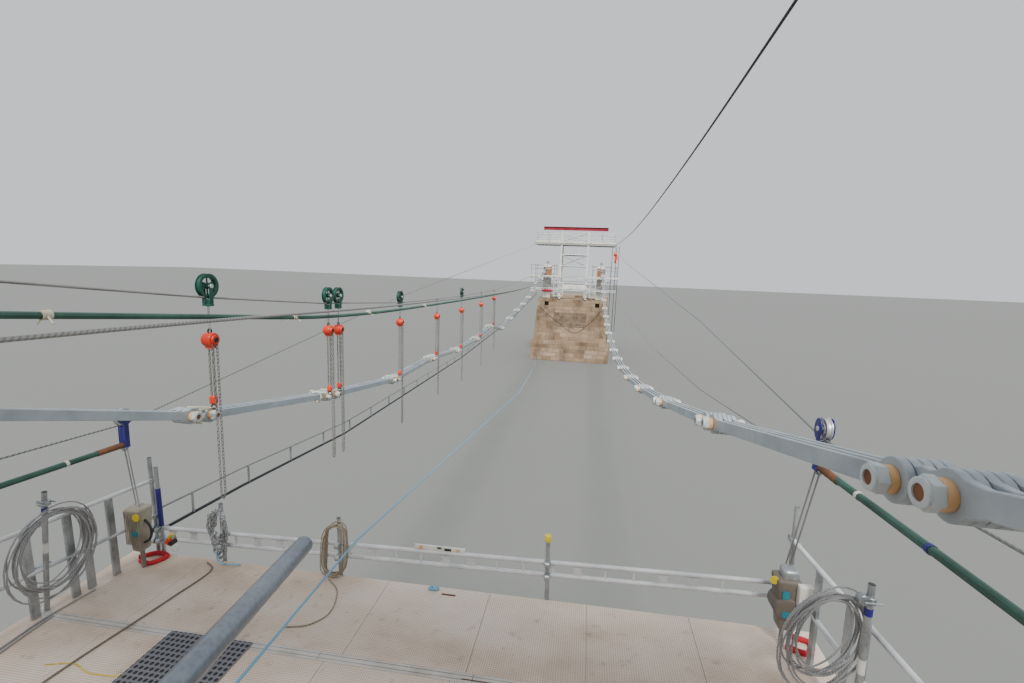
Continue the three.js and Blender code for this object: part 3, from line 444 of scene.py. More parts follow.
def sandstone():
    """Coursed sandstone ashlar: tan blocks, each its own tone, streaked dark by weather and moss."""
    material, shader, place_in = new_material("weathered_sandstone", 0.92)
    block_tone = add(material, "ShaderNodeNewGeometry").outputs["Random Per Island"]
    tones = [(0.0, "#85705a"), (0.3, "#9f886f"), (0.55, "#ae9780"), (0.8, "#998268"), (1.0, "#bda891")]
    base = ramp(material, block_tone, tones)
    stains = noise(material, place_in, 1.6, detail=6.0, stretch=(1.3, 1.3, 0.5))
    dirty = ramp(material, stains, [(0.34, "#766a5d"), (0.5, "#ffffff")])
    colour = mixed(material, 0.55, base, dirty, "MULTIPLY")
    grain = noise(material, place_in, 0.012, detail=3.0)
    pits = noise(material, place_in, 0.11, detail=8.0, roughness=0.7)
    grained = ramp(material, grain, [(0.3, "#c9c4ba"), (0.7, "#ffffff")])
    colour = mixed(material, 0.5, colour, grained, "MULTIPLY")
    blotched = ramp(material, pits, [(0.38, "#7c705c"), (0.5, "#ffffff")])
    colour = mixed(material, 0.35, colour, blotched, "MULTIPLY")
    feed(material, shader, "Base Color", colour)
    bump(material, shader, pits, 0.02, 0.7)
    return material


def mortar():
    """Lime mortar, recessed between the stones: dull and a little darker than they are."""
    material, shader, place_in = new_material("lime_mortar", 0.95)
    grain = noise(material, place_in, 0.03)
    colour = ramp(material, grain, [(0.3, "#6e6350"), (0.7, "#8f8169")])
    feed(material, shader, "Base Color", colour)
    bump(material, shader, grain, 0.004)
    return material


def galvanised(name="galvanised_steel", base="#a9adb0", light="#c3c7c9", dark="#84898d", roughness=0.42):
    """Hot-dip galvanised steel: matt zinc with a faint spangle and grey weather marks."""
    material, shader, place_in = new_material(name, roughness, 0.75)
    fine = {"Scale": 1 / (0.012 * MODEL_SCALE)}
    spangle = add(material, "ShaderNodeTexVoronoi", fine, {"Vector": place_in}).outputs["Distance"]
    clouds = noise(material, place_in, 0.2)
    both = math_node(material, "ADD", math_node(material, "MULTIPLY", spangle, 0.25), clouds)
    colour = ramp(material, both, [(0.38, dark), (0.6, base), (0.85, light)])
    feed(material, shader, "Base Color", colour)
    spread_out = {"From Min": 0.3, "From Max": 0.8, "To Min": roughness - 0.1, "To Max": roughness + 0.15}
    uneven = add(material, "ShaderNodeMapRange", spread_out, {"Value": clouds}).outputs["Result"]
    feed(material, shader, "Roughness", uneven)
    return material


def timber_boards():
    """Sawn spruce scaffold boards: grey-brown, with grain along each board."""
    material, shader, place_in = new_material("weathered_spruce_boards", 0.82)
    board_tone = add(material, "ShaderNodeNewGeometry").outputs["Random Per Island"]
    base = ramp(material, board_tone, [(0.0, "#8d7f6a"), (0.5, "#ab9c84"), (1.0, "#bfb199")])
    grain = noise(material, place_in, 0.06, detail=8.0, stretch=(0.08, 1.6, 1.6))
    grained = ramp(material, grain, [(0.35, "#8a7c68"), (0.6, "#ffffff")])
    colour = mixed(material, 0.6, base, grained, "MULTIPLY")
    feed(material, shader, "Base Color", colour)
    bump(material, shader, grain, 0.003, 0.6)
    return material


def mesh_plywood():
    """Phenolic plywood with a pressed wire mesh: tan-grey, a fine grid of pits darkened with painted shade,
    mud and rust stains.
    """
    material, shader, place_in = new_material("mesh_faced_plywood", 0.62)
    # The real mesh is about 6 mm. It is drawn at 22 mm so that it still shows in the render.
    pitch = 0.022 * MODEL_SCALE
    waves = []
    for axis in ("X", "Y"):
        bands = {"wave_type": "BANDS", "bands_direction": axis, "Scale": 0.31416 / pitch}
        waves.append(add(material, "ShaderNodeTexWave", bands, {"Vector": place_in}).outputs["Fac"])
    grid = math_node(material, "MULTIPLY", *waves)
    stains = noise(material, place_in, 0.9, detail=7.0, stretch=(0.6, 1.0, 1.0))
    base = ramp(material, stains, [(0.3, "#bfa893"), (0.48, "#dbc7b5"), (0.62, "#e5d5c7"), (0.8, "#ecdfd3")])
    # The pits of the mesh are darkened: painted shade.
    pitted = ramp(material, grid, [(0.3, "#ffffff"), (0.7, "#7d6a58")])
    colour = mixed(material, 0.6, base, pitted, "MULTIPLY")
    mud = ramp(material, noise(material, place_in, 0.12, detail=8.0), [(0.28, "#7d6a55"), (0.4, "#ffffff")])
    colour = mixed(material, 0.35, colour, mud, "MULTIPLY")
    feed(material, shader, "Base Color", colour)
    bump(material, shader, grid, 0.0012, -0.5)
    return material


def perforated_rubber():
    """Rubber ring mat: grey rubber with close round holes, their bottoms darkened with painted shade."""
    material, shader, place_in = new_material("perforated_rubber", 0.8)
    holes = {"Scale": 1 / (0.055 * MODEL_SCALE), "Randomness": 0.0, "voronoi_dimensions": "2D"}
    cells = add(material, "ShaderNodeTexVoronoi", holes, {"Vector": place_in}).outputs["Distance"]
    # The near-black in each hole is painted shade at its bottom.
    colour = ramp(material, cells, [(0.3, "#232326"), (0.4, "#75757a")])
    feed(material, shader, "Base Color", colour)
    bump(material, shader, cells, 0.006, 0.8)
    return material


def strand(name, base, dark, roughness, metallic, lay):
    """Laid rope: strands that wind round it, with painted shade in the grooves between them."""
    material, shader, _ = new_material(name, roughness, metallic)
    surface = add(material, "ShaderNodeUVMap", {"uv_map": "rope"}).outputs["UV"]
    scaled = {"Scale": (1 / (lay * MODEL_SCALE), 1, 1)}
    wound = add(material, "ShaderNodeMapping", scaled, {"Vector": surface}).outputs["Vector"]
    bands = {"wave_type": "BANDS", "bands_direction": "DIAGONAL", "Scale": 0.62832 * 1.732}
    wave = add(material, "ShaderNodeTexWave", bands, {"Vector": wound}).outputs["Fac"]
    # The dark colour in the grooves between the strands is painted shade.
    colour = ramp(material, wave, [(0.1, dark), (0.6, base)])
    feed(material, shader, "Base Color", colour)
    bump(material, shader, wave, 0.002, 0.6)
    return material


LOOK = {
    "stone": sandstone(),
    "mortar": mortar(),
    # Structural paint in a light blue-grey: satin, with a faint cloudiness
    "chain": paint("blue_grey_chain_paint", "#a3adb4", "#b4bdc2", "#929da5", 0.36),
    "nut": paint("pale_grey_nut_paint", "#c3cacc", "#d0d6d8", "#b0b8bb", 0.35),
    "spacer": paint("primed_spacer_ring", "#dfb07a", "#ecc698", "#c48d54", 0.5),
    "mat": perforated_rubber(),
    "strip": paint("worn_aluminium_strip", "#c9c3bc", "#d6d1ca", "#b0a89f", 0.5),
    "soot": paint("soot_stained_sandstone", "#6f5f4f", "#86745f", "#55483b", 0.92),
    "lifting": paint("oiled_lifting_chain", "#77736d", "#8d8983", "#56524c", 0.5),
    "recess": paint("rusty_pin_end", "#7a5034", "#94684a", "#4d3222", 0.8),
    "white": paint("weathered_white_paint", "#dcdad2", "#e9e7e0", "#bdb9ac", 0.6),
    "casing": paint("stained_timber_casing", "#a0683c", "#b98050", "#7d4f2e", 0.75),
    "steel": galvanised(),
    "tube": galvanised("smooth_zinc_tube", "#868c96", "#989ea7", "#747b86", 0.36),
    "bright": paint("bare_aluminium_rail", "#ccced0", "#dcdddf", "#aeb1b4", 0.4),
    "alloy": galvanised("mill_finish_aluminium", "#c6c8c9", "#dcdddd", "#a5a7a8", 0.36),
    "boards": timber_boards(),
    "plywood": mesh_plywood(),
    "red": paint("red_gloss_paint", "#94122a", "#a81c32", "#6f0e1e", 0.35),
    "orange": paint("orange_gloss_paint", "#df3a1a", "#ec5030", "#b52c12", 0.32),
    "green": paint("dark_green_paint", "#0e4c3f", "#15594b", "#093a30", 0.4),
    "blue": paint("dark_blue_paint", "#26267a", "#34348c", "#1a1a58", 0.38),
    "sleeve": paint("green_plastic_sleeve", "#2c5549", "#3a6457", "#234238", 0.5),
    "housing": paint("worn_beige_enamel", "#9b9384", "#aca596", "#7c7567", 0.6, 0.2, 0.2),
    "yellow": paint("yellow_plastic", "#d9c21e", "#e6d23a", "#bda514", 0.45),
    "slab": paint("brown_grey_enamel", "#686158", "#7a7268", "#4f4941", 0.6, 0.2, 0.2),
    "crimson": paint("red_tarpaulin", "#9c1830", "#ae2440", "#741022", 0.7),
    "rust": paint("rusty_steel", "#6b4630", "#855a3c", "#4a2f20", 0.85),
    "yellow_cap": paint("yellow_cap_plastic", "#d8c52c", "#e4d345", "#b8a51c", 0.45),
    "teal": paint("teal_sticker", "#1f7f90", "#2a8c9c", "#186b7a", 0.5),
    "tape": paint("cream_woven_tape", "#cfc8b4", "#ddd7c6", "#b3aa94", 0.85),
    "sling": paint("red_woven_sling", "#b3182a", "#c42436", "#8a1120", 0.8),
    "rubber": paint("black_rubber", "#2b2b2d", "#38383a", "#1d1d1f", 0.75),
    "wire": strand("galvanised_strand", "#9a9a98", "#7f7e7b", 0.5, 0.4, 0.07),
    "coil": strand("stiff_wire_rope", "#a3a2a2", "#8c8b8b", 0.5, 0.2, 0.05),
    "haul": strand("greased_wire_rope", "#969896", "#6f706e", 0.45, 0.5, 0.07),
    "dark": strand("dark_steel_cable", "#34383c", "#141618", 0.5, 0.4, 0.12),
    "hemp": strand("laid_hemp_rope", "#a89c88", "#7d715d", 0.9, 0.0, 0.06),
    "twine": strand("grey_laid_rope", "#867b70", "#675d53", 0.9, 0.0, 0.05),
    "cord": strand("braided_blue_cord", "#7fb0cc", "#5b8fb0", 0.75, 0.0, 0.04),
}


# Modelling helpers
def deselect():
    bpy.ops.object.select_all(action="DESELECT")


def pick(piece):
    """Makes a piece the only one selected, and the active one."""
    deselect()
    piece.select_set(True)
    bpy.context.view_layer.objects.active = piece


def into_scene(thing):
    bpy.context.scene.collection.objects.link(thing)


def coat(piece, look):
    """Gives a piece one look in place of those that it has."""
    piece.data.materials.clear()
    piece.data.materials.append(LOOK[look])


def made(name, look):
    """Names the primitive just added, and moves its place, turn and size into its mesh."""
    piece = bpy.context.object
    piece.name = name
    bpy.ops.object.transform_apply(location=True, rotation=True, scale=True)
    piece.data.materials.append(LOOK[look])
    return piece


def apply_modifier(piece, kind, **settings):
    pick(piece)
    modifier = piece.modifiers.new(kind.lower(), kind)
    for key, value in settings.items():
        setattr(modifier, key, value)
    bpy.ops.object.modifier_apply(modifier=modifier.name)
    return piece


def bevel(piece, width, segments=1, angle=30):
    limit = math.radians(angle)
    return apply_modifier(
        piece, "BEVEL", width=width, segments=segments, limit_method="ANGLE", angle_limit=limit
    )


def cube(name, look, centre=(0, 0, 0), size=(1, 1, 1)):
    """A box in a template's own frame, in real metres."""
    deselect()
    bpy.ops.mesh.primitive_cube_add(size=1, location=centre, scale=size)
    return made(name, look)


def cylinder(name, look, radius, depth, sides=16, centre=(0, 0, 0), axis="Z"):
    """A cylinder in a template's own frame, in real metres."""
    deselect()
    bpy.ops.mesh.primitive_cylinder_add(
        vertices=sides, radius=radius, depth=depth, location=centre, rotation=AXIS_TURNS[axis]
    )
    return made(name, look)


def torus(name, look, major, minor, centre=(0, 0, 0), axis="Z", sides=(24, 8)):
    """A ring in a template's own frame, with its numbers of segments round and across."""
    deselect()
    bpy.ops.mesh.primitive_torus_add(
        major_radius=major,
        minor_radius=minor,
        major_segments=sides[0],
        minor_segments=sides[1],
        location=centre,
        rotation=AXIS_TURNS[axis],
    )
    return made(name, look)


def turned(name, look, profile, sides=32):
    """A closed profile of radius and side, spun round an axis that lies across the bridge."""
    deselect()
    bpy.ops.mesh.primitive_circle_add(vertices=len(profile), radius=1)
    piece = made(name, look)
    for vertex, (radius, side) in zip(piece.data.vertices, profile):
        vertex.co = (side, 0, radius)
    bpy.ops.object.mode_set(mode="EDIT")
    bpy.ops.mesh.select_all(action="SELECT")
    bpy.ops.mesh.spin(steps=sides, angle=2 * math.pi, center=(0, 0, 0), axis=(1, 0, 0))
    bpy.ops.mesh.select_all(action="SELECT")
    bpy.ops.mesh.remove_doubles(threshold=0.00001)
    bpy.ops.mesh.normals_make_consistent(inside=False)
    bpy.ops.object.mode_set(mode="OBJECT")
    return piece


def rod(look, start, end, size, sides=10):
    """A round bar between two places."""
    piece = cylinder("rod", look, 0.5, 1, sides, (0, 0, 0.5))
    piece.data.transform(between(start, end, size))
    return piece


def set_at(piece, where, turn=0.0):
    """Moves a template in real metres to its place."""
    piece.data.transform(at(*where, turn))
    return piece


def select_faces(piece, test):
    """In edit mode, selects the faces whose centre and normal pass the test."""
    bpy.context.view_layer.objects.active = piece
    bpy.ops.object.mode_set(mode="EDIT")
    bpy.ops.mesh.select_mode(type="FACE")
    bpy.ops.mesh.select_all(action="DESELECT")
    mesh = bmesh.from_edit_mesh(piece.data)
    for face in mesh.faces:
        face.select_set(test(face.calc_center_median(), face.normal))
    bmesh.update_edit_mesh(piece.data)


def leave_edit():
    bpy.ops.object.mode_set(mode="OBJECT")


def copied(source, matrix, look=None):
    """A copy with its own mesh, put in place by the matrix."""
    twin = source.copy()
    twin.data = source.data.copy()
    twin.data.transform(matrix)
    if matrix.determinant() < 0:
        twin.data.flip_normals()
    if look:
        coat(twin, look)
    into_scene(twin)
    return twin


def joined(name, pieces):
    deselect()
    for piece in pieces:
        piece.select_set(True)
    bpy.context.view_layer.objects.active = pieces[0]
    if len(pieces) > 1:
        bpy.ops.object.join()
    pieces[0].name = name
    pieces[0].data.name = name
    return pieces[0]


def drop(*pieces):
    for piece in pieces:
        bpy.data.objects.remove(piece)


def finished(piece, slot, *nodes, body="root"):
    """Gives a finished piece its body and the solids it stands for. The slot argument is not used."""
    pick(piece)
    bpy.ops.object.shade_smooth_by_angle(angle=SMOOTH_ANGLE)
    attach(piece, body)
    if nodes:
        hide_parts(*nodes)
    return piece


def between(start, end, thickness=1.0):
    """The matrix that stretches a template of unit height from one place to another."""
    a = place(*start)
    run = place(*end) - a
    turn = run.to_track_quat("Z", "Y").to_matrix().to_4x4()
    width = thickness * MODEL_SCALE
    return Matrix.Translation(a) @ turn @ Matrix.Diagonal((width, width, run.length, 1))


def at(along, left, up, turn=0.0):
    """The matrix that puts a template in real metres at a place, turned about the vertical."""
    where = Matrix.Translation(place(along, left, up))
    return where @ Matrix.Rotation(turn, 4, "Z") @ Matrix.Scale(MODEL_SCALE, 4)


def box_matrix(along, left, up):
    """The matrix that fits a unit cube between two places."""
    low = place(min(along), max(left), min(up))
    high = place(max(along), min(left), max(up))
    size = high - low
    return Matrix.Translation((low + high) / 2) @ Matrix.Diagonal((*size, 1))


def rope_mesh(name, look, points, size, sides=8, closed=False):
    """A round rope through points in the model's frame, with a map of real metres along it."""
    curve = bpy.data.curves.new(name, "CURVE")
    curve.dimensions = "3D"
    curve.bevel_depth = size / 2 * MODEL_SCALE
    curve.bevel_resolution = max(0, sides // 4 - 1)
    curve.use_fill_caps = True
    spline = curve.splines.new("POLY")
    spline.points.add(len(points) - 1)
    for point, where in zip(spline.points, points):
        point.co = (*where, 1)
    spline.use_cyclic_u = closed
    piece = bpy.data.objects.new(name, curve)
    into_scene(piece)
    pick(piece)
    bpy.ops.object.convert(target="MESH")
    map_rope(piece, points)
    coat(piece, look)
    for polygon in piece.data.polygons:
        polygon.use_smooth = len(polygon.vertices) == 4
    return piece


def map_rope(piece, points):
    """Writes a UV map: metres along the rope, and turns round it."""
    mesh = piece.data
    for layer in list(mesh.uv_layers):
        if layer.name != "rope":
            mesh.uv_layers.remove(layer)
    layer = mesh.uv_layers.new(name="rope")
    steps = [0.0]
    for a, b in zip(points, points[1:]):
        steps.append(steps[-1] + (Vector(b) - Vector(a)).length)
    ring = len(mesh.vertices) // len(points)
    for polygon in mesh.polygons:
        corners = [divmod(v, ring) for v in polygon.vertices]
        around = [c[1] for c in corners]
        wraps = max(around) - min(around) > ring / 2
        for loop, (step, turn) in zip(polygon.loop_indices, corners):
            share = turn / ring
            if wraps and turn < ring / 2:
                share += 1
            layer.data[loop].uv = (steps[min(step, len(steps) - 1)], share)


def spread(points, count):
    """A smooth centripetal curve through real places, as points in the model's frame."""
    spots = [place(*p) for p in points]
    ends = [spots[0] * 2 - spots[1], *spots, spots[-1] * 2 - spots[-2]]
    knots = [0.0]
    for a, b in zip(ends, ends[1:]):
        knots.append(knots[-1] + max((b - a).length, 1e-6) ** 0.5)
    result = []
    for i in range(1, len(ends) - 2):
        p0, p1, p2, p3 = ends[i - 1 : i + 3]
        t0, t1, t2, t3 = knots[i - 1 : i + 3]
        for step in range(count):
            t = t1 + (t2 - t1) * step / count
            a1 = p0 * ((t1 - t) / (t1 - t0)) + p1 * ((t - t0) / (t1 - t0))
            a2 = p1 * ((t2 - t) / (t2 - t1)) + p2 * ((t - t1) / (t2 - t1))
            a3 = p2 * ((t3 - t) / (t3 - t2)) + p3 * ((t - t2) / (t3 - t2))
            b1 = a1 * ((t2 - t) / (t2 - t0)) + a2 * ((t - t0) / (t2 - t0))
            b2 = a2 * ((t3 - t) / (t3 - t1)) + a3 * ((t - t1) / (t3 - t1))
            result.append(b1 * ((t2 - t) / (t2 - t1)) + b2 * ((t - t1) / (t2 - t1)))
    return [*result, spots[-1]]


# Templates, each modelled once in real metres
def flat_link(name, half, depths):
    """Half a flat bar: a round head, its shoulders and the bar to the middle, then mirrored."""
    deselect()
    bpy.ops.mesh.primitive_circle_add(
        vertices=24, radius=HEAD_SIZE / 2, fill_type="NGON", rotation=(math.pi / 2, 0, 0)
    )
    piece = made(name, "chain")
    bpy.ops.object.mode_set(mode="EDIT")
    bpy.ops.mesh.select_mode(type="VERT")
    bpy.ops.mesh.select_all(action="DESELECT")
    mesh = bmesh.from_edit_mesh(piece.data)
    shoulder = HEAD_SIZE / 2 * math.cos(math.radians(46))
    for vertex in mesh.verts:
        vertex.select_set(vertex.co.x > shoulder)
    mesh.select_flush_mode()
    for edge in mesh.edges:
        edge.select_set(all(v.co.x > shoulder for v in edge.verts))
    bmesh.update_edit_mesh(piece.data)
    chord = HEAD_SIZE / 2 * math.sin(math.radians(45))
    for along, depth in depths:
        bpy.ops.mesh.extrude_edges_move()
        bpy.ops.transform.resize(value=(0, 1, depth / 2 / chord), center_override=(along, 0, 0))
        chord = depth / 2
    bpy.ops.object.mode_set(mode="OBJECT")
    piece.data.transform(Matrix.Translation((-half, 0, 0)))
    apply_modifier(piece, "MIRROR", use_mirror_merge=True, merge_threshold=0.0005)
    piece.data.transform(Matrix.Translation((half, 0, 0)))
    apply_modifier(piece, "SOLIDIFY", thickness=LAYER_THICK, offset=0)
    bevel(piece, 0.004, 1, 40)
    return piece


def eyebar(length):
    return flat_link("eyebar", length / 2, [*HEAD_SHOULDERS, (length / 2, BAR_DEPTH)])


def pin_end():
    """Beyond the outer bar: a spacer ring, a hexagonal nut and a collar round the pin's end."""
    face = 2 * LAYER_PITCH + LAYER_THICK / 2
    nut_face = face + SPACER_THICK
    collar_face = nut_face + NUT_THICK
    middle = (0, face + SPACER_THICK / 2, 0)
    spacer = cylinder("spacer", "spacer", 0.058, SPACER_THICK, 24, middle, "Y")
    select_faces(spacer, lambda centre, normal: abs(normal.y) < 0.5)
    bpy.ops.mesh.subdivide(number_cuts=1)
    leave_edit()
    bevel(spacer, 0.004, 2)
    middle = (0, nut_face + NUT_THICK / 2, 0)
    nut = bevel(cylinder("nut", "nut", 0.066, NUT_THICK, 6, middle, "Y"), 0.004, 2)
    middle = (0, collar_face + COLLAR_THICK / 2, 0)
    collar = cylinder("collar", "nut", 0.054, COLLAR_THICK, 24, middle, "Y")
    collar.data.materials.append(LOOK["recess"])
    select_faces(collar, lambda centre, normal: normal.y > 0.9)
    bpy.ops.mesh.inset(thickness=0.008)
    bpy.ops.transform.translate(value=(0, 0.003, 0))
    bpy.ops.mesh.inset(thickness=0.014)
    collar.active_material_index = 1
    bpy.ops.object.material_slot_assign()
    bpy.ops.mesh.extrude_region_move(TRANSFORM_OT_translate={"value": (0, -0.007, 0)})
    leave_edit()
    return joined("pin_end", [spacer, nut, collar])


def hollow_tube(look="steel"):
    """Scaffold tube of unit length, open at both ends."""
    piece = cylinder("scaffold_tube", look, TUBE / 2, 1, 12, (0, 0, 0.5))
    select_faces(piece, lambda centre, normal: abs(normal.z) > 0.9)
    bpy.ops.mesh.inset(thickness=0.004, use_individual=True)
    bpy.ops.transform.resize(value=(1, 1, 0.9), center_override=(0, 0, 0.5))
    leave_edit()
    return piece


def coupler():
    """Pressed-steel coupler: two clasps round tubes that cross, with their bolts."""
    body = cylinder("coupler", "steel", 0.04, 0.055, 12)
    cross = cylinder("cross_clasp", "steel", 0.04, 0.055, 12, (0, 0.048, 0), "X")
    bolts = [cylinder("bolt", "steel", 0.009, 0.12, 6, (0.045 * way, 0, 0), "Y") for way in (-1, 1)]
    return bevel(joined("coupler", [body, cross, *bolts]), 0.004)


def chain_along(look, points, pitch=0.045, wire=0.011):
    """Round links along a route in the model's frame, each turned a quarter from the last."""
    link = torus("link", look, pitch / 2, wire / 2, (0, 0, 0), "Y", (10, 5))
    link.data.transform(Matrix.Diagonal((0.62, 1, (pitch + wire) / pitch, 1)))
    pieces = []
    step = pitch * MODEL_SCALE
    ahead = step / 2
    for a, b in zip(points, points[1:]):
        run = b - a
        turn = run.to_track_quat("Z", "Y").to_matrix().to_4x4()
        while ahead < run.length:
            quarter = Matrix.Rotation(math.pi / 2 * (len(pieces) % 2), 4, "Z")
            where = Matrix.Translation(a + run.normalized() * ahead)
            pieces.append(copied(link, where @ turn @ quarter @ Matrix.Scale(MODEL_SCALE, 4)))
            ahead += step
        ahead -= run.length
    drop(link)
    return joined("link_chain", pieces)


# Camera
def photograph_view():
    cos, sin = math.cos, math.sin
    forward = Vector(
        (-cos(CAMERA_PITCH) * sin(CAMERA_YAW), cos(CAMERA_PITCH) * cos(CAMERA_YAW), sin(CAMERA_PITCH))
    )
    level = Vector((cos(CAMERA_YAW), sin(CAMERA_YAW), 0))
    above = level.cross(forward)
    right = level * cos(CAMERA_ROLL) + above * sin(CAMERA_ROLL)
    up = above * cos(CAMERA_ROLL) - level * sin(CAMERA_ROLL)
    lens = bpy.data.cameras.new("camera")
    lens.lens = CAMERA_LENS
    lens.sensor_width = SENSOR_WIDTH
    lens.clip_start = 0.02
    lens.clip_end = 300
    view = bpy.data.objects.new("camera", lens)
    axes = Matrix((right, up, -forward)).transposed().to_4x4()
    view.matrix_world = Matrix.Translation(place(*CAMERA_PLACE)) @ axes
    into_scene(view)
    bpy.context.scene.camera = view


def coil_route(coil):
    """Turns that wander across the ring, from the place where the post carries it."""
    half = COIL_THICK / 2 - COIL_ROPE
    outer = coil["across"] / 2 - COIL_ROPE
    inner = coil["across"] / 2 - COIL_DEPTH + COIL_ROPE
    turn = Matrix.Rotation(math.radians(coil["turn"]), 3, "Z")
    along, left, height = coil["centre"]
    centre = place(along, left, PLATFORM_UP + height)
    points = []
    for i in range(COIL_TURNS * COIL_STEPS + 1):
        share = i / COIL_STEPS
        angle = math.radians(coil["start"]) + 2 * math.pi * share
        # Each turn is its own size and hangs low, so that the turns spread at the foot of the coil
        loose = 0.5 - 0.5 * math.cos(angle - math.pi / 2)
        wander = math.sin(2.4 * share + 0.7)
        radius = outer - (outer - inner) * (0.5 + 0.5 * wander) * (0.35 + 0.65 * loose) * COIL_SLACK
        side = half * math.sin(1.55 * share + 0.6) * (0.5 + 0.5 * loose)
        drift = Vector((0, 0.05 * math.sin(1.1 * share), -0.05 * math.sin(0.9 * share) ** 2))
        spot = Vector((side, radius * math.cos(angle), radius * math.sin(angle))) + drift
        points.append(TILT @ (centre + turn @ (spot * MODEL_SCALE)))
    return points


def hank_route():
    """Long oval turns that hang from the front rail."""
    middle = (HANK_LOW + HANK_TOP) / 2
    reach = 0.47 * (HANK_TOP - HANK_LOW)
    thick = (HANK_ALONG[1] - HANK_ALONG[0]) / 2 - HANK_ROPE
    points = []
    for i in range(HANK_TURNS * HANK_STEPS + 1):
        share = i / HANK_STEPS
        angle = 2 * math.pi * share + math.pi / 2
        rise = math.sin(angle)
        half = HANK_WIDTH / 2 * (0.88 + 0.2 * math.sin(2.1 * share))
        height = (reach - half - 0.02 * math.sin(3.3 * share + 1)) * math.tanh(4 * rise) + half * rise
        along = sum(HANK_ALONG) / 2 + thick * math.sin(1.7 * share)
        left = HANK_LEFT + half * (0.87 - 0.13 * rise) * math.cos(angle) + 0.05 * (0.5 - rise)
        points.append(TILT @ place(along, left, middle + height))
    return points


def spare_ropes():
    for side, coil in COILS.items():
        route = coil_route(coil)
        name = f"{side}_coil_of_wire_rope"
        piece = rope_mesh(name, "coil", route, COIL_ROPE, 8)
        finished(piece, "wire_rope", f"{side}_rope_coil")
    route = hank_route()
    piece = rope_mesh("hank_of_hemp_rope", "hemp", route, HANK_ROPE, 8)
    finished(piece, "fibre_rope", "rope_hank")


# Chains
def chain_up(along):
    return -4 * CHAIN_SAG * (along / SPAN) * (1 - along / SPAN)


def right_joints():
    joints = [(0, 0)]
    along = 0.0
    wanted = FIRST_JOINT
    step = 0.01
    travelled = 0.0
    while along < SPAN:
        travelled += math.hypot(step, chain_up(along + step) - chain_up(along))
        along += step
        if travelled >= wanted and SPAN - along > LINK_PITCH / 2:
            joints.append((along, chain_up(along)))
            wanted += LINK_PITCH
    return [*joints, (SPAN, 0)]


def frame_between(a, b):
    """Axes at a that point towards b, across the bridge and upright, in real metres."""
    along = (b - a).normalized()
    across = Vector((-1, 0, 0))
    turn = Matrix((along, across, along.cross(across))).transposed().to_4x4()
    return Matrix.Translation(a) @ turn @ Matrix.Scale(MODEL_SCALE, 4)


def link_frame(start, end, left):
    """The axes of a link between two joints, and its real length."""
    a = place(start[0], left, start[1])
    b = place(end[0], left, end[1])
    return frame_between(a, b), (b - a).length / MODEL_SCALE


def chain_length(name, joints, left, node, parts):
    """Flat bars in threes, short plates in twos between their eyes, and the pins with their nuts."""
    pieces = []
    for start, end in zip(joints, joints[1:]):
        frame_at, length = link_frame(start, end, left)
        bar_length = length - PIN_SPACING
        stretch = Matrix.Translation((PIN_SPACING / 2, 0, 0))
        template = parts["bar"]
        for layer in (-2, 0, 2):
            offset = Matrix.Translation((0, layer * LAYER_PITCH, 0))
            twin = copied(template, Matrix.Identity(4))
            middle = parts["bar_length"] / 2
            for vertex in twin.data.vertices:
                if vertex.co.x > middle:
                    vertex.co.x += bar_length - parts["bar_length"]
            twin.data.transform(frame_at @ stretch @ offset)
            pieces.append(twin)
        for pin in (PIN_SPACING / 2, length - PIN_SPACING / 2):
            for way in (1, -1):
                turned_round = Matrix.Translation((pin, 0, 0)) @ Matrix.Scale(way, 4, Vector((0, 1, 0)))
                twist = Matrix.Rotation(chance.uniform(0, math.pi / 3), 4, "Y")
                pieces.append(copied(parts["pin"], frame_at @ turned_round @ twist))
    for before, at_joint, after in zip(joints, joints[1:], joints[2:]):
        near_frame, near_length = link_frame(before, at_joint, left)
        far_frame, _ = link_frame(at_joint, after, left)
        a = near_frame @ Vector((near_length - PIN_SPACING / 2, 0, 0))
        b = far_frame @ Vector((PIN_SPACING / 2, 0, 0))
        for layer in (-1, 1):
            offset = Matrix.Translation((0, layer * LAYER_PITCH, 0))
            pieces.append(copied(parts["plate"], frame_between(a, b) @ offset))
    finished(joined(name, pieces), "chain_paint", node)


def chains():
    bar_length = LINK_PITCH - PIN_SPACING
    waist = [(0.1, 0.15), (PIN_SPACING / 2, WAIST_DEPTH)]
    parts = {
        "bar": eyebar(bar_length),
        "bar_length": bar_length,
        "plate": flat_link("coupling_plate", PIN_SPACING / 2, waist),
        "pin": pin_end(),
    }
    for (side, sign), joints in zip(SIDES, (LEFT_JOINTS, right_joints())):
        left = sign * CHAIN_OFFSET
        middle = len(joints) // 2
        chain_length(f"{side}_chain_near_links", joints[: middle + 1], left, f"{side}_chain_near", parts)
        chain_length(f"{side}_chain_far_links", joints[middle:], left, f"{side}_chain_far", parts)
        for end, sign_along, start in (("near", -1, 0), ("far", 1, SPAN)):
            run = sign_along * ANCHOR_DISTANCE
            count = BACKSTAY_LINKS
            stay = [(start + run * i / count, ANCHOR_UP * i / count) for i in range(count + 1)]
            if end == "near":
                stay.reverse()
            chain_length(f"{end}_{side}_backstay_links", stay, left, f"{end}_{side}_backstay", parts)
    drop(parts["bar"], parts["plate"], parts["pin"])


# Masonry and boarding
def meets(a, b):
    """Whether two stretches share more than a millimetre."""
    return a[0] < b[1] - 0.001 and a[1] > b[0] + 0.001


def clear_of(boxes, holes):
    return [box for box in boxes if not any(all(map(meets, box, hole)) for hole in holes)]


def rows_of(course, joint):
    """Neighbouring stretches between the cuts of a course, each shortened by half a joint."""
    return [(a + joint / 2, b - joint / 2) for a, b in zip(course, course[1:])]


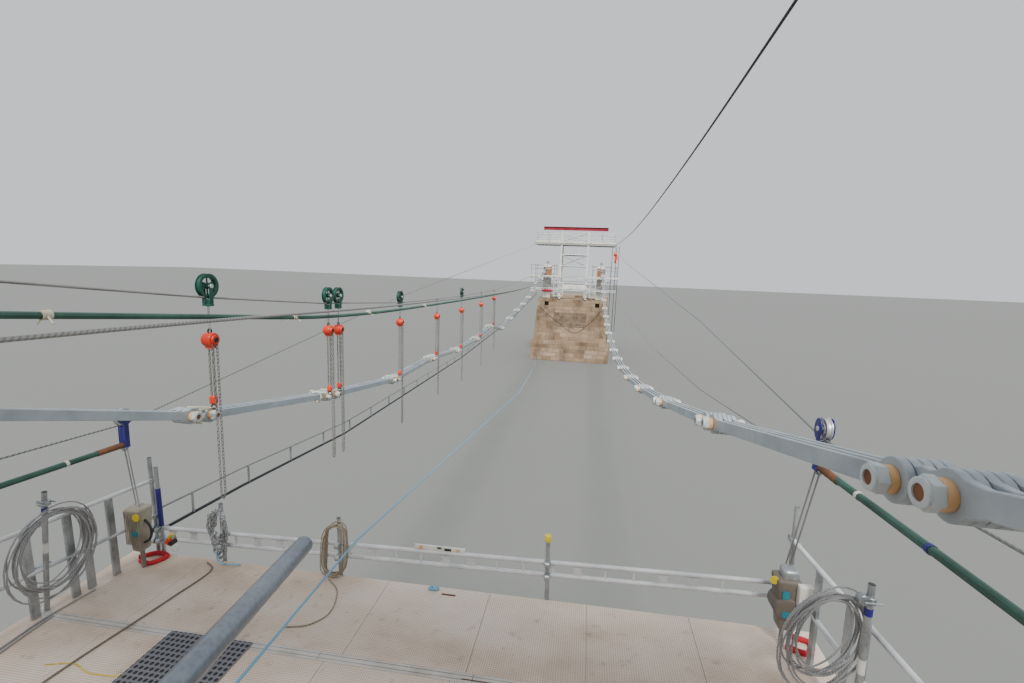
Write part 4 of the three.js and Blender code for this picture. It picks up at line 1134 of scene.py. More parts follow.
def cuts(low, high, typical, forced=(), shift=0.0):
    """Joints along one course: uneven lengths, with breaks where they have to be."""
    edges = sorted({low, high, *(f for f in forced if low < f < high)})
    result = []
    for a, b in zip(edges, edges[1:]):
        count = max(1, round((b - a) / typical + shift))
        places = [a + (b - a) * i / count for i in range(count)]
        jitter = (b - a) / count * 0.18
        result.append(a)
        result += [p + chance.uniform(-jitter, jitter) for p in places[1:]]
    return [*result, high]


def blocks(boxes, look, name, edge, relief=0.0):
    """Boxes between real places, joined, with worn edges."""
    template = cube("stone", look)
    pieces = []
    for along, left, up in boxes:
        rough = [chance.uniform(-relief, relief) for _ in range(3)]
        grown = [(low - more, high + more) for more, (low, high) in zip(rough, (along, left, up))]
        pieces.append(copied(template, box_matrix(*grown)))
    drop(template)
    return bevel(joined(name, pieces), edge * MODEL_SCALE)


def shell_boxes(along, left, up_cuts, typical, depth, holes, joint):
    """Facing stones of a box-shaped mass, course by course, bonded at the corners."""
    boxes = []
    for k, up in enumerate(rows_of(up_cuts, joint)):
        odd = k % 2
        trim = depth * odd
        forced = [edge for hole in holes for edge in hole[1]]
        for face in ((along[0], along[0] + depth), (along[1] - depth, along[1])):
            edges = cuts(left[0] + trim, left[1] - trim, typical, forced, 0.5 * odd)
            boxes += [(face, stretch, up) for stretch in rows_of(edges, joint)]
        trim = depth - trim
        forced = [edge for hole in holes for edge in hole[0]]
        for face in ((left[0], left[0] + depth), (left[1] - depth, left[1])):
            edges = cuts(along[0] + trim, along[1] - trim, typical, forced, 0.5 * odd)
            boxes += [(stretch, face, up) for stretch in rows_of(edges, joint)]
    return clear_of(boxes, holes)


def paving_boxes(along, left, up, width, length, holes, joint):
    """Slabs or boards that cover a level area, in rows across the bridge."""
    boxes = []
    forced_rows = [edge for hole in holes for edge in hole[0]]
    rows = sorted({along[0], along[1], *(f for f in forced_rows if along[0] < f < along[1])})
    for a, b in zip(rows, rows[1:]):
        count = max(1, round((b - a) / width))
        for i in range(count):
            row = (a + (b - a) * i / count + joint / 2, a + (b - a) * (i + 1) / count - joint / 2)
            forced = [edge for hole in holes if meets(hole[0], row) for edge in hole[1]]
            edges = cuts(left[0], left[1], length, forced, 0.4 * (i % 2))
            boxes += [(row, stretch, up) for stretch in rows_of(edges, joint)]
    return clear_of(boxes, holes)


def core_of(node, look, inset):
    """A merged copy of a solid, drawn in a little, that shows in the joints between its stones."""
    piece = copied(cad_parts[node], Matrix.Identity(4), look)
    pick(piece)
    bpy.ops.object.mode_set(mode="EDIT")
    bpy.ops.mesh.select_all(action="SELECT")
    bpy.ops.mesh.remove_doubles(threshold=0.00005)
    bpy.ops.transform.shrink_fatten(value=-inset * MODEL_SCALE, use_even_offset=True)
    bpy.ops.object.mode_set(mode="OBJECT")
    piece.parent = None
    return piece


def tapered(piece, low, high, share):
    """Draws the sides of a mass in towards its top."""
    bottom = (low + SADDLE_HEIGHT) * MODEL_SCALE
    height = (high - low) * MODEL_SCALE
    for vertex in piece.data.vertices:
        vertex.co.x *= 1 - (1 - share) * (vertex.co.z - bottom) / height


def both_ends(near, name, slot, node):
    """Finishes a piece of the near end, and its mirrored twin at the far end."""
    far = copied(near, END_MIRROR)
    for piece, end in ((near, "near"), (far, "far")):
        piece.name = f"{end}_{name}"
        piece.data.name = piece.name
        finished(piece, slot, f"{end}_{node}")


def flagstones(name, along, left, top, holes):
    """Paving inside the facing stones of a mass."""
    inside = [(low + FLAG_INSET, high - FLAG_INSET) for low, high in (along, left)]
    flags = paving_boxes(*inside, (top - FLAG_THICK, top), *FLAG_SIZE, holes, STONE_JOINT)
    return blocks(flags, "stone", name, STONE_JOINT)


def pier_stones():
    socket = SOCKET_SIZE / 2
    socket_up = (SOCKET_UP - socket, SOCKET_UP + socket)
    courses = [*(PLINTH_TOP + PIER_COURSE * i for i in range(9)), *socket_up, PIER_TOP]
    stretch = PIER_HALF_FOOT / (PIER_HALF_TOP + 0.05)
    holes = []
    for sign in (-1, 1):
        edges = [(sign * SOCKET_LEFT + way * socket) * stretch for way in (-1, 1)]
        holes.append(((PIER_FACE - SOCKET_DEPTH, PIER_FACE + 0.1), edges, socket_up))
    area = (centred(PIER_FACE), centred(PIER_HALF_FOOT))
    faces = shell_boxes(*area, courses, PIER_STONE, STONE_DEPTH, holes, STONE_JOINT)
    upper = blocks(faces, "stone", "pier_stones", STONE_WEAR, 0.005)
    tapered(upper, PLINTH_TOP, PIER_TOP, PIER_HALF_TOP / PIER_HALF_FOOT)
    top = flagstones("pier_flags", centred(PIER_FACE), centred(PIER_HALF_TOP), PIER_TOP, [])
    area = (centred(PLINTH_FACE), centred(PLINTH_HALF))
    foot = shell_boxes(*area, PLINTH_COURSES, PLINTH_STONE, 0.4, [], 0.014)
    return [upper, top, blocks(foot, "stone", "plinth_stones", 0.02, 0.004)]


def anchorage_stones():
    height = ANCHOR_TOP + SADDLE_HEIGHT
    courses = [-SADDLE_HEIGHT + height * i / ANCHOR_COURSES for i in range(ANCHOR_COURSES + 1)]
    area = ((-ANCHOR_BACK, -ANCHOR_FACE), centred(PLINTH_HALF))
    holes = []
    for sign in (-1, 1):
        edges = (sign * CHAIN_OFFSET - THROAT_HALF, sign * CHAIN_OFFSET + THROAT_HALF)
        holes.append((THROAT_REACH, edges, THROAT_UP))
    faces = shell_boxes(*area, courses, ANCHOR_STONE, STONE_DEPTH, holes, STONE_JOINT)
    walls = blocks(faces, "stone", "anchorage_stones", STONE_WEAR, 0.005)
    return [walls, flagstones("anchorage_flags", *area, ANCHOR_TOP, holes)]


def masonry():
    for name, stones in (("pier", pier_stones()), ("anchorage", anchorage_stones())):
        core = core_of(f"near_{name}", "mortar", 0.014)
        both_ends(joined("masonry", [*stones, core]), f"{name}_masonry", "sandstone", name)


def pylon_casing(sign):
    """Horizontal boards round the pylon's head, and the saddle's channel left open."""
    middle = sign * PYLON_OFFSET
    chain = sign * CHAIN_OFFSET
    sides = (middle - PYLON_HALF, middle + PYLON_HALF)
    channel = (chain - SADDLE_CHEEK, chain + SADDLE_CHEEK)
    height = CAP_BASE - PIER_TOP - GAP
    courses = [PIER_TOP + GAP + height * i / CASING_BOARDS for i in range(CASING_BOARDS + 1)]
    inner = PYLON_HALF - CASING_THICK
    boxes = []
    for low, high in zip(courses, courses[1:]):
        up = (low + 0.003, high - 0.003)
        for face in (-1, 1):
            ends = sorted((face * inner, face * PYLON_HALF))
            if high > CHANNEL_LOW:
                boxes.append((ends, (sides[0], channel[0]), up))
                boxes.append((ends, (channel[1], sides[1]), up))
            else:
                boxes.append((ends, sides, up))
            flank = sorted((middle + face * inner, middle + face * PYLON_HALF))
            boxes.append(((-inner, inner), flank, up))
    # The boards are stained above the deck and painted white below it
    under_deck = DECK_UP - DECK_THICK
    upper = [box for box in boxes if box[2][1] > under_deck]
    lower = [box for box in boxes if box[2][1] <= under_deck]
    return joined("pylon_boards", [
        blocks(upper, "casing", "upper_boards", 0.004),
        blocks(lower, "white", "lower_boards", 0.004),
    ])


def cap_roof(sign):
    """Sheet-metal pyramid with rolled hips over a moulded slab."""
    left = sign * PYLON_OFFSET
    middle = CAP_BASE + (GAP + CAP_THICK) / 2
    slab_low = cube("cap_slab", "white", (0, 0, middle), (2 * CAP_HALF, 2 * CAP_HALF, CAP_THICK - GAP))
    bevel(slab_low, 0.02, 3)
    deselect()
    bpy.ops.mesh.primitive_cone_add(
        vertices=4,
        radius1=CAP_HALF * math.sqrt(2) * 0.985,
        depth=CAP_APEX - CAP_BASE - CAP_THICK,
        location=(0, 0, (CAP_APEX + CAP_BASE + CAP_THICK) / 2),
        rotation=(0, 0, math.pi / 4),
    )
    roof = made("cap_roof", "white")
    bevel(roof, 0.02, 2)
    whole = joined("cap", [slab_low, roof])
    whole.data.transform(at(0, left, 0))
    return whole


def pylons():
    for side, sign in SIDES:
        core = core_of(f"near_{side}_pylon", "mortar", 0.006)
        casing = joined("casing", [pylon_casing(sign), core])
        both_ends(casing, f"{side}_pylon_casing", "pylon_casing", f"{side}_pylon")
        both_ends(cap_roof(sign), f"{side}_cap_roof", "white_cap", f"{side}_cap")


# Scaffold towers
def tube_run(template, start, end, size=TUBE):
    return copied(template, between(start, end, size / TUBE))


def coupler_at(template, where, turn=0.0, flip=0.0):
    matrix = at(*where, turn) @ Matrix.Rotation(flip, 4, "X")
    return copied(template, matrix)


def scaffold_tower():
    """Tubes of the near tower, with a coupler at each crossing."""
    front = TOWER_FACE
    back = -TOWER_FACE
    ledger = DECK_UP - DECK_THICK - TUBE_FLAT - GAP
    sill = PIER_TOP + TUBE_FLAT + GAP
    rails = (DECK_UP + MID_RAIL, DECK_UP + RAIL_HEIGHT)
    top = DECK_UP + RAIL_HEIGHT + POST_EXCESS
    tube = hollow_tube()
    clasp = coupler()
    runs = []
    crossings = []
    for sign in (1, -1):
        outer, line, chain, mid = (sign * p for p in (OUTER_POST, LINE_POST, CHAIN_POST, MID_POST))
        runs.append(((front, line, -2.8), (front, line, top)))
        runs.append(((front, chain, ledger), (front, chain, top)))
        crossings += [(front, line, LOW_LEDGER), (front, line, ledger), (front, chain, ledger)]
        for along in (front, back):
            runs.append(((along, outer, LOW_LEDGER - POST_EXCESS), (along, outer, top)))
            runs.append(((along, mid, sill - 0.021), (along, mid, top)))
            runs.append(((along, mid, LOW_LEDGER), (along, outer, ledger)))
            for left, up in ((outer, LOW_LEDGER), (outer, ledger), (mid, LOW_LEDGER), (mid, ledger)):
                crossings.append((along, left, up))
        for up in rails:
            runs.append(((front, mid, up), (front, chain, up)))
            runs.append(((front, line, up), (front, outer, up)))
            runs.append(((back, mid, up), (back, outer, up)))
            runs.append(((front, outer, up), (back, outer, up)))
            crossings += [(front, left, up) for left in (mid, chain, line, outer)]
            crossings += [(back, mid, up), (back, outer, up)]
        for left, up in ((outer, LOW_LEDGER), (outer, ledger), (mid, ledger), (mid, sill)):
            runs.append(((front, left, up), (back, left, up)))
    runs.append(((-0.3, -MID_POST, ledger), (-0.3, MID_POST, ledger)))
    for along, up in ((front, LOW_LEDGER), (front, ledger), (back, LOW_LEDGER), (back, BACK_LEDGER)):
        runs.append(((along, -OUTER_POST, up), (along, OUTER_POST, up)))
    pieces = [tube_run(tube, *run) for run in runs]
    pieces += [coupler_at(clasp, where, chance.choice((0, math.pi / 2))) for where in crossings]
    both_ends(joined("tubes", pieces), "scaffold_tubes", "galvanised_steel", "scaffold")
    behind = (OUTRIGGER_REST[0] - OUTRIGGER_BACK) / (OUTRIGGER_TIP[0] - OUTRIGGER_REST[0])
    outrigger = tube_run(tube, part_way(OUTRIGGER_REST, OUTRIGGER_TIP, -behind), OUTRIGGER_TIP)
    coat(outrigger, "tube")
    outrigger.name = "outrigger_scaffold_tube"
    finished(outrigger, "galvanised_steel", "outrigger_tube")
    drop(tube, clasp)


def parts_outside(along, left, holes):
    """What a joist keeps of its length between the holes that it meets."""
    parts = [along]
    for (low, high), sides, _ in holes:
        if sides[0] < left[1] and sides[1] > left[0]:
            pairs = [pair for a, b in parts for pair in ((a, min(b, low)), (max(a, high), b))]
            parts = [(a, b) for a, b in pairs if b - a > 0.05]
    return parts


def main_decks():
    """Scaffold boards across light joists, cut round the pylons and the opening for the work."""
    reach = centred(TOWER_FACE - DECK_INSET)
    wide = centred(DECK_HALF)
    clear = PYLON_HALF + 0.03
    deep = (DECK_UP - 1, DECK_UP + 1)
    holes = [((-OPENING_REACH, TOWER_FACE), centred(OPENING_HALF), deep)]
    for _, sign in SIDES:
        left = sign * CHAIN_OFFSET
        middle = sign * PYLON_OFFSET
        holes.append((centred(clear), (middle - clear, middle + clear), deep))
        holes.append(((-TOWER_FACE, -BACKSTAY_NOTCH), (left - 0.3, left + 0.3), deep))
    level = (DECK_UP - BOARD_THICK, DECK_UP)
    boards = paving_boxes(reach, wide, level, BOARD_WIDTH, 3.0, holes, BOARD_JOINT)
    top = blocks(boards, "boards", "deck_boards", 0.006)
    below = (DECK_UP - DECK_THICK, DECK_UP - 0.046)
    joists = []
    for i in range(19):
        middle = -DECK_HALF + JOIST_HALF + 2 * (DECK_HALF - JOIST_HALF) * i / 18
        left = (middle - JOIST_HALF, middle + JOIST_HALF)
        joists += [(part, left, below) for part in parts_outside(reach, left, holes)]
    under = blocks(joists, "alloy", "deck_joists", 0.004)
    rim = blocks([((reach[0], reach[0] + DECK_INSET), wide, below)], "alloy", "deck_rim", 0.004)
    both_ends(joined("deck", [top, under, rim]), "main_deck_boards", "scaffold_boards", "main_deck")


def gantry_frames():
    """White box posts with tube bracing between them."""
    half = GANTRY_POST_SIZE / 2
    front, rear = GANTRY_ROWS
    levels = [*((up, TUBE) for up in GANTRY_RAILS), *((up, 2 * TUBE) for up in GANTRY_LEVELS)]
    posts = []
    runs = []
    for along, high in zip(GANTRY_ROWS, (BEAM_UNDER, GANTRY_UP + RAIL_HEIGHT)):
        for left in (GANTRY_POST, -GANTRY_POST):
            sides = (left - half, left + half)
            posts.append(((along - half, along + half), sides, (PIER_TOP + GAP, high)))
        for up, size in levels:
            runs.append(((along, -GANTRY_POST, up), (along, GANTRY_POST, up), size))
    for left in (GANTRY_POST, -GANTRY_POST):
        for up in GANTRY_LEVELS:
            runs.append(((front, left, up), (rear, left, up), 2 * TUBE))
        for low, high in (GANTRY_LEVELS[1:], (GANTRY_UP + 0.15, GANTRY_RAILS[1])):
            runs.append(((front, left, low), (front, -left, high), 2 * TUBE))
    tube = hollow_tube()
    pieces = [blocks(posts, "white", "gantry_posts", 0.012), *(tube_run(tube, *run) for run in runs)]
    drop(tube)
    both_ends(joined("frame", pieces), "gantry_frame_tubes", "galvanised_steel", "gantry_frame")


def gantry_decks():
    """A boarded deck on three beams, with guard rails round it."""
    clear = GANTRY_POST_SIZE / 2 + GAP
    front, rear = GANTRY_ROWS
    reach = (rear - GANTRY_OVERHANG, front + GANTRY_OVERHANG)
    wide = centred(GANTRY_HALF)
    deep = (GANTRY_UP - 1, GANTRY_UP + 1)
    holes = []
    for along in GANTRY_ROWS:
        for left in (GANTRY_POST, -GANTRY_POST):
            holes.append(((along - clear, along + clear), (left - clear, left + clear), deep))
    level = (GANTRY_UP - 0.05, GANTRY_UP)
    boards = paving_boxes(reach, wide, level, BOARD_WIDTH, 2.7, holes, BOARD_JOINT)
    top = blocks(boards, "boards", "gantry_boards", 0.006)
    below = (GANTRY_UP - GANTRY_THICK, GANTRY_UP - 0.051)
    middles = (reach[0] + JOIST_HALF, sum(GANTRY_ROWS) / 2, reach[1] - JOIST_HALF)
    beams = [((along - JOIST_HALF, along + JOIST_HALF), wide, below) for along in middles]
    under = blocks(beams, "alloy", "gantry_beams", 0.004)
    guard = []
    for _, sign in SIDES:
        outer = sign * GANTRY_RAIL_POSTS[0]
        inner = sign * (GANTRY_POST + clear)
        for along in GANTRY_ROWS:
            for left in (sign * post for post in GANTRY_RAIL_POSTS):
                guard.append(((along, left, GANTRY_UP - 0.004), (along, left, GANTRY_UP + RAIL_HEIGHT)))
            guard += [((along, outer, up), (along, inner, up)) for up in GANTRY_RAILS]
        guard += [((front, outer, up), (rear, outer, up)) for up in GANTRY_RAILS]
    tube = hollow_tube()
    pieces = [top, under, *(tube_run(tube, *run) for run in guard)]
    drop(tube)
    both_ends(joined("deck", pieces), "gantry_deck_boards", "scaffold_boards", "gantry_deck")


def red_beams():
    """Rolled steel beam: two flanges and a web, with stiffeners over the posts."""
    along = -GANTRY_FRONT
    half = BEAM_WIDTH / 2
    low = BEAM_UNDER + GAP
    flange = (along - half, along + half)
    whole = centred(BEAM_HALF)
    # The web reaches half a millimetre into both flanges
    web = (low + FLANGE_THICK - 0.0005, BEAM_TOP - FLANGE_THICK + 0.0005)
    boxes = [
        (flange, whole, (low, low + FLANGE_THICK)),
        (flange, whole, (BEAM_TOP - FLANGE_THICK, BEAM_TOP)),
        ((along - WEB_HALF, along + WEB_HALF), whole, web),
    ]
    for left in (-BEAM_HALF + 0.05, -GANTRY_POST, 0, GANTRY_POST, BEAM_HALF - 0.05):
        boxes.append(((flange[0] + 0.01, flange[1] - 0.01), (left - WEB_HALF, left + WEB_HALF), web))
    near = blocks(boxes, "red", "beam", 0.003)
    both_ends(near, "red_beam_section", "red_paint", "red_beam")


# Working platform
def tilted(piece):
    piece.data.transform(TILT)
    return piece


def platform_deck():
    """Plywood panels on joists, with aluminium strips over their joints and along the front edge."""
    top = (PLATFORM_UP - PLYWOOD_THICK, PLATFORM_UP)
    left = (-PLATFORM_RIGHT, PLATFORM_LEFT)
    rows = [PIER_FACE + GAP, *STRIPS[0], *STRIPS[1], PLATFORM_REACH]
    panels = []
    for i, (a, b) in enumerate(zip(rows[::2], rows[1::2])):
        along = (a + PANEL_JOINT / 2, b - PANEL_JOINT / 2)
        edges = cuts(*left, PANEL_WIDTH, (), 0.8 * (i % 2))
        panels += [(along, stretch, top) for stretch in rows_of(edges, PANEL_JOINT)]
    faces = blocks(panels, "plywood", "platform_panels", 0.002)
    bands = []
    for strip in STRIPS:
        edges = cuts(*left, STRIP_LENGTH)
        bands += [(strip, stretch, top) for stretch in rows_of(edges, PANEL_JOINT)]
    lip = (PLATFORM_UP - LIP_DEPTH, PLATFORM_UP - 0.0005)
    bands.append(((PLATFORM_REACH - 0.004, PLATFORM_REACH), left, lip))
    strips_and_lip = blocks(bands, "strip", "platform_strips", 0.002)
    reach = (PIER_FACE + GAP, PLATFORM_REACH - 0.005)
    below = (PLATFORM_UP - PLATFORM_THICK, PLATFORM_UP - 0.031)
    joists = []
    for i in range(10):
        side = left[0] + 0.05 + (left[1] - left[0] - 0.1) * i / 9
        joists.append((reach, (side - JOIST_HALF, side + JOIST_HALF), below))
    metal = blocks(joists, "alloy", "platform_metal", 0.002)
    piece = joined("platform_panels_and_strips", [faces, strips_and_lip, metal])
    finished(tilted(piece), "platform_boards", "platform_deck")


def on_deck(along, left, height):
    return along, left, PLATFORM_UP + height


def on_platform(along, left, height):
    """A place above the tilted deck, in the model's frame."""
    return TILT @ place(*on_deck(along, left, height))


def ladder_height(left):
    """The ladder rail rises to the right."""
    share = (LADDER_LEFT[0] - left) / (LADDER_LEFT[0] - LADDER_RIGHT[0])
    return LADDER_LEFT[1] + (LADDER_RIGHT[1] - LADDER_LEFT[1]) * share


def hourglass_plate():
    """Wide gusset between the ladder rail's chords, drawn in at its middle."""
    depth = LADDER_DEPTH - 0.03
    plate = cube("gusset", "bright", (0, 0, 0), (0.13, 0.006, depth))
    select_faces(plate, lambda centre, normal: abs(normal.x) > 0.9)
    bpy.ops.mesh.subdivide(number_cuts=3)
    mesh = bmesh.from_edit_mesh(plate.data)
    for vertex in mesh.verts:
        share = 1 - abs(vertex.co.z) / (depth / 2)
        vertex.co.x *= 1 - 0.45 * share
    bmesh.update_edit_mesh(plate.data)
    leave_edit()
    return plate


def ladder_rail(tube, steel, clasp):
    """Two chords with gussets and thin rungs between them, and the posts that they are clasped to."""
    plate = hourglass_plate()
    pieces = []
    for lower in (0, LADDER_DEPTH):
        ends = [on_deck(POST_ALONG, left, up - lower) for left, up in (LADDER_LEFT, LADDER_RIGHT)]
        pieces.append(tube_run(tube, *ends))
    count = int((LADDER_LEFT[0] - LADDER_RIGHT[0] - 0.2) / RUNG_PITCH)
    for i in range(count):
        left = LADDER_LEFT[0] - 0.25 - i * RUNG_PITCH
        top = on_deck(POST_ALONG, left, ladder_height(left))
        foot = on_deck(POST_ALONG, left, ladder_height(left) - LADDER_DEPTH)
        if i % 4 < 2:
            middle = on_deck(POST_ALONG, left, ladder_height(left) - LADDER_DEPTH / 2)
            pieces.append(copied(plate, at(*middle)))
        else:
            pieces.append(tube_run(tube, foot, top, RUNG_SIZE))
    for left, height in FRONT_POSTS:
        ends = [on_deck(POST_ALONG, left, up) for up in (FRONT_POST_FOOT, height)]
        pieces.append(tube_run(steel, *ends))
        for lower in (0, LADDER_DEPTH):
            where = on_deck(POST_ALONG, left, ladder_height(left) - lower)
            pieces.append(coupler_at(clasp, where, math.pi))
    drop(plate)
    return pieces


def side_rails(side, tube, steel, clasp):
    """Two rails, their flat posts and the tube that a rope coil hangs on."""
    pieces = []
    flats = []
    route = SIDE_RAILS[side]
    for up in SIDE_RAIL_UPS:
        for a, b in zip(route, route[1:]):
            pieces.append(tube_run(tube, on_deck(*a, up), on_deck(*b, up)))
        pieces.append(coupler_at(clasp, on_deck(*route[-1], up)))
    for along in SIDE_POSTS[side]:
        left = value_along(route, along)
        up = (PLATFORM_UP + GAP, PLATFORM_UP + SIDE_RAIL_UPS[1])
        wide = (along - FLAT_WIDTH / 2, along + FLAT_WIDTH / 2)
        flats.append((wide, (left - FLAT_THICK / 2, left + FLAT_THICK / 2), up))
    pieces.append(blocks(flats, "steel", "rail_posts", 0.003))
    foot, top, height = COIL_POSTS[side]
    tie = (foot[0], value_along(route, foot[0]))
    pieces.append(tube_run(steel, on_deck(*foot, 0.004), on_deck(*top, height)))
    pieces.append(tube_run(tube, on_deck(*foot, SIDE_RAIL_UPS[0]), on_deck(*tie, SIDE_RAIL_UPS[0])))
    pieces.append(coupler_at(clasp, on_deck(*foot, SIDE_RAIL_UPS[0])))
    pieces.append(coupler_at(clasp, on_deck(*top, height - 0.12), math.pi / 2))
    return pieces


def platform_rails():
    tube = hollow_tube("bright")
    steel = hollow_tube()
    clasp = coupler()
    pieces = ladder_rail(tube, steel, clasp)
    for side, _ in SIDES:
        pieces += side_rails(side, tube, steel, clasp)
    piece = joined("platform_guard_rails", pieces)
    finished(tilted(piece), "galvanised_steel", "platform_rails")
    drop(tube, steel, clasp)


def spirit_level():
    level = bevel(cube("level_body", "white", (0, 0, 0), (0.6, 0.024, 0.055)), 0.004, 2)
    vials = [
        cube("vial", "spacer", (-0.22, -0.013, 0), (0.045, 0.004, 0.03)),
        cube("vial", "green", (0, -0.013, 0.012), (0.05, 0.004, 0.022)),
        cube("vial", "spacer", (0.22, -0.013, 0), (0.045, 0.004, 0.03)),
        cube("level_label", "rubber", (0.1, -0.013, 0), (0.08, 0.003, 0.03)),
    ]
    height = ladder_height(LEVEL_LEFT) + TUBE_FLAT + 0.028
    piece = set_at(joined("spirit_level", [level, *vials]), on_deck(POST_ALONG, LEVEL_LEFT, height))
    finished(tilted(piece), "white_cap")


def post_cap(left, top):
    cap = bevel(cylinder("post_cap", "yellow_cap", 0.038, 0.07, 20), 0.008, 2)
    finished(tilted(set_at(cap, on_deck(POST_ALONG, left, top))), "galvanised_steel")


def hung_chain(left, top):
    """Loops of chain that hang on a post, and the blue strap at its foot."""
    loops = []
    for i in range(6):
        swing = 0.075 + 0.02 * (i % 3)
        reach = 0.42 + 0.05 * ((i * 2) % 5)
        front = POST_ALONG - 0.055 - 0.012 * (i % 3)
        for j in range(8):
            angle = 2 * math.pi * j / 8
            side = left + swing * math.cos(angle) + 0.01 * (i - 3)
            loops.append(on_platform(front, side, top - 0.06 - reach / 2 + reach / 2 * math.sin(angle)))
    chain = chain_along("steel", loops, 0.04, 0.015)
    chain.name = "hung_chain"
    finished(chain, "galvanised_steel")
    spots = ((-0.1, 0.03, 0.16), (-0.13, -0.02, 0.05), (-0.16, -0.16, 0.06), (-0.1, -0.3, 0.03))
    strap = [on_platform(POST_ALONG + ahead, left + aside, up) for ahead, aside, up in spots]
    finished(rope_mesh("blue_strap", "cord", strap, 0.02, 8), "blue_line")


def strap_ratchet():
    ratchet = joined("strap_ratchet", [
        bevel(cube("ratchet_plate", "orange", (0, 0, 0), (0.07, 0.04, 0.09)), 0.01, 2),
        cylinder("ratchet_drum", "rubber", 0.03, 0.08, 16, (0.05, 0, 0.03), "Y"),
        cube("ratchet_lever", "yellow", (-0.02, 0, 0.07), (0.03, 0.03, 0.09)),
        torus("ratchet_bail", "white", 0.05, 0.007, (0.1, 0, -0.02), "Y"),
    ])
    ratchet.data.transform(Matrix.Rotation(math.radians(35), 4, "Y"))
    finished(tilted(set_at(ratchet, on_deck(POST_ALONG - 0.06, 3.42, 0.2))), "hoist_orange")


def post_wraps():
    """Coloured tape round the two posts that carry the coils."""
    for side, (foot, top, height) in COIL_POSTS.items():
        wraps = []
        for look, size, spans in (("blue", 0.056, (0.83, 0.87)), ("white", 0.0535, (0.5, 0.58))):
            ends = [on_deck(*part_way(foot, top, share), height * share) for share in spans]
            wraps.append(rod(look, *ends, size, 16))
        finished(tilted(joined(f"{side}_post_wraps", wraps)), "white_cap")


def rail_fittings():
    """Things kept on the front rail and its posts."""
    spirit_level()
    post_cap(*FRONT_POSTS[4])
    hung_chain(*FRONT_POSTS[2])
    strap_ratchet()
    post_wraps()
    sleeve = cylinder("post_sleeve", "blue", 0.029, 0.5, 16)
    where = on_deck(POST_ALONG, FRONT_POSTS[1][0], 0.62)
    finished(tilted(set_at(sleeve, where)), "galvanised_steel")


def winch_frame(body_look, low, high, foot_share):
    """The housing's slab, wider at its top than at its foot, with a black foot below it."""
    body = cube("winch_body", body_look, (0, 0, (low + high) / 2), (0.23, 0.2, high - low))
    select_faces(body, lambda centre, normal: normal.z < -0.9)
    bpy.ops.transform.resize(value=(foot_share, 0.75, 1), center_override=(0, 0, low))
    leave_edit()
    bevel(body, 0.03, 3)
    foot = bevel(cube("winch_foot", "lifting", (0, 0, low / 2), (0.035, 0.05, low)), 0.015, 2)
    eye = torus("winch_eye", "steel", 0.028, 0.008, (0, 0, high + 0.03), "Y")
    return [body, foot, eye]


def left_winch():
    """A ribbed beige housing with a yellow disc, a teal label and a dark band at its side."""
    pieces = winch_frame("housing", 0.24, 0.79, 0.55)
    for i in range(9):
        x = -0.09 + 0.0225 * i
        pieces.append(cylinder("rib", "housing", 0.006, 0.42, 8, (x, -0.1, 0.56)))
    pieces.append(cylinder("cover_disc", "yellow", 0.045, 0.012, 24, (0.085, -0.112, 0.71), "Y"))
    pieces.append(cube("label", "teal", (0.045, -0.109, 0.5), (0.075, 0.006, 0.06)))
    band = torus("band", "rubber", 0.16, 0.014, (0.02, -0.02, 0.5), "Y", (32, 8))
    select_faces(band, lambda centre, normal: centre.x < 0.06)
    bpy.ops.mesh.delete(type="FACE")
    leave_edit()
    return joined("ribbed_winch", [*pieces, band])


def right_winch():
    """A bulging brown housing, a pale gear box on its top and a smaller box at its front."""
    pieces = winch_frame("slab", 0.2, 0.74, 0.5)
    drum = bevel(cylinder("drum_cover", "slab", 0.115, 0.21, 28, (-0.01, 0, 0.45), "Y"), 0.02, 3)
    box = bevel(cube("gear_box", "steel", (0.02, 0, 0.76), (0.15, 0.15, 0.14)), 0.035, 3)
    small = bevel(cube("small_box", "white", (0.12, -0.12, 0.62), (0.12, 0.07, 0.22)), 0.008, 2)
    pieces += [
        drum,
        box,
        small,
        cube("label", "teal", (-0.02, -0.108, 0.4), (0.07, 0.006, 0.06)),
        cube("label", "teal", (-0.035, -0.104, 0.6), (0.06, 0.006, 0.08)),
        cube("label", "teal", (0.12, -0.157, 0.58), (0.06, 0.004, 0.06)),
        cylinder("cover_disc", "yellow", 0.04, 0.012, 24, (-0.13, -0.06, 0.72), "Y"),
    ]
    return joined("drum_winch", pieces)


def winches():
    for side, model in (("left", left_winch), ("right", right_winch)):
        along, left, _ = WINCHES[side]
        piece = set_at(model(), on_deck(along, left, 0.002))
        piece.name = f"{side}_lever_winch"
        finished(tilted(piece), "winch_housing", f"{side}_winch")


def flat_on_deck(name, look, along, left, thick=0.004):
    """A thin sheet that lies on the deck."""
    piece = blocks([(along, left, (PLATFORM_UP, PLATFORM_UP + thick))], look, name, 0.001)
    return tilted(piece)


def deck_line(name, look, size, spots):
    """A rope or cable that lies loose on the deck."""
    smooth_run = spread([on_deck(along, left, size / 2) for along, left in spots], 10)
    return rope_mesh(name, look, [TILT @ point for point in smooth_run], size, 12)


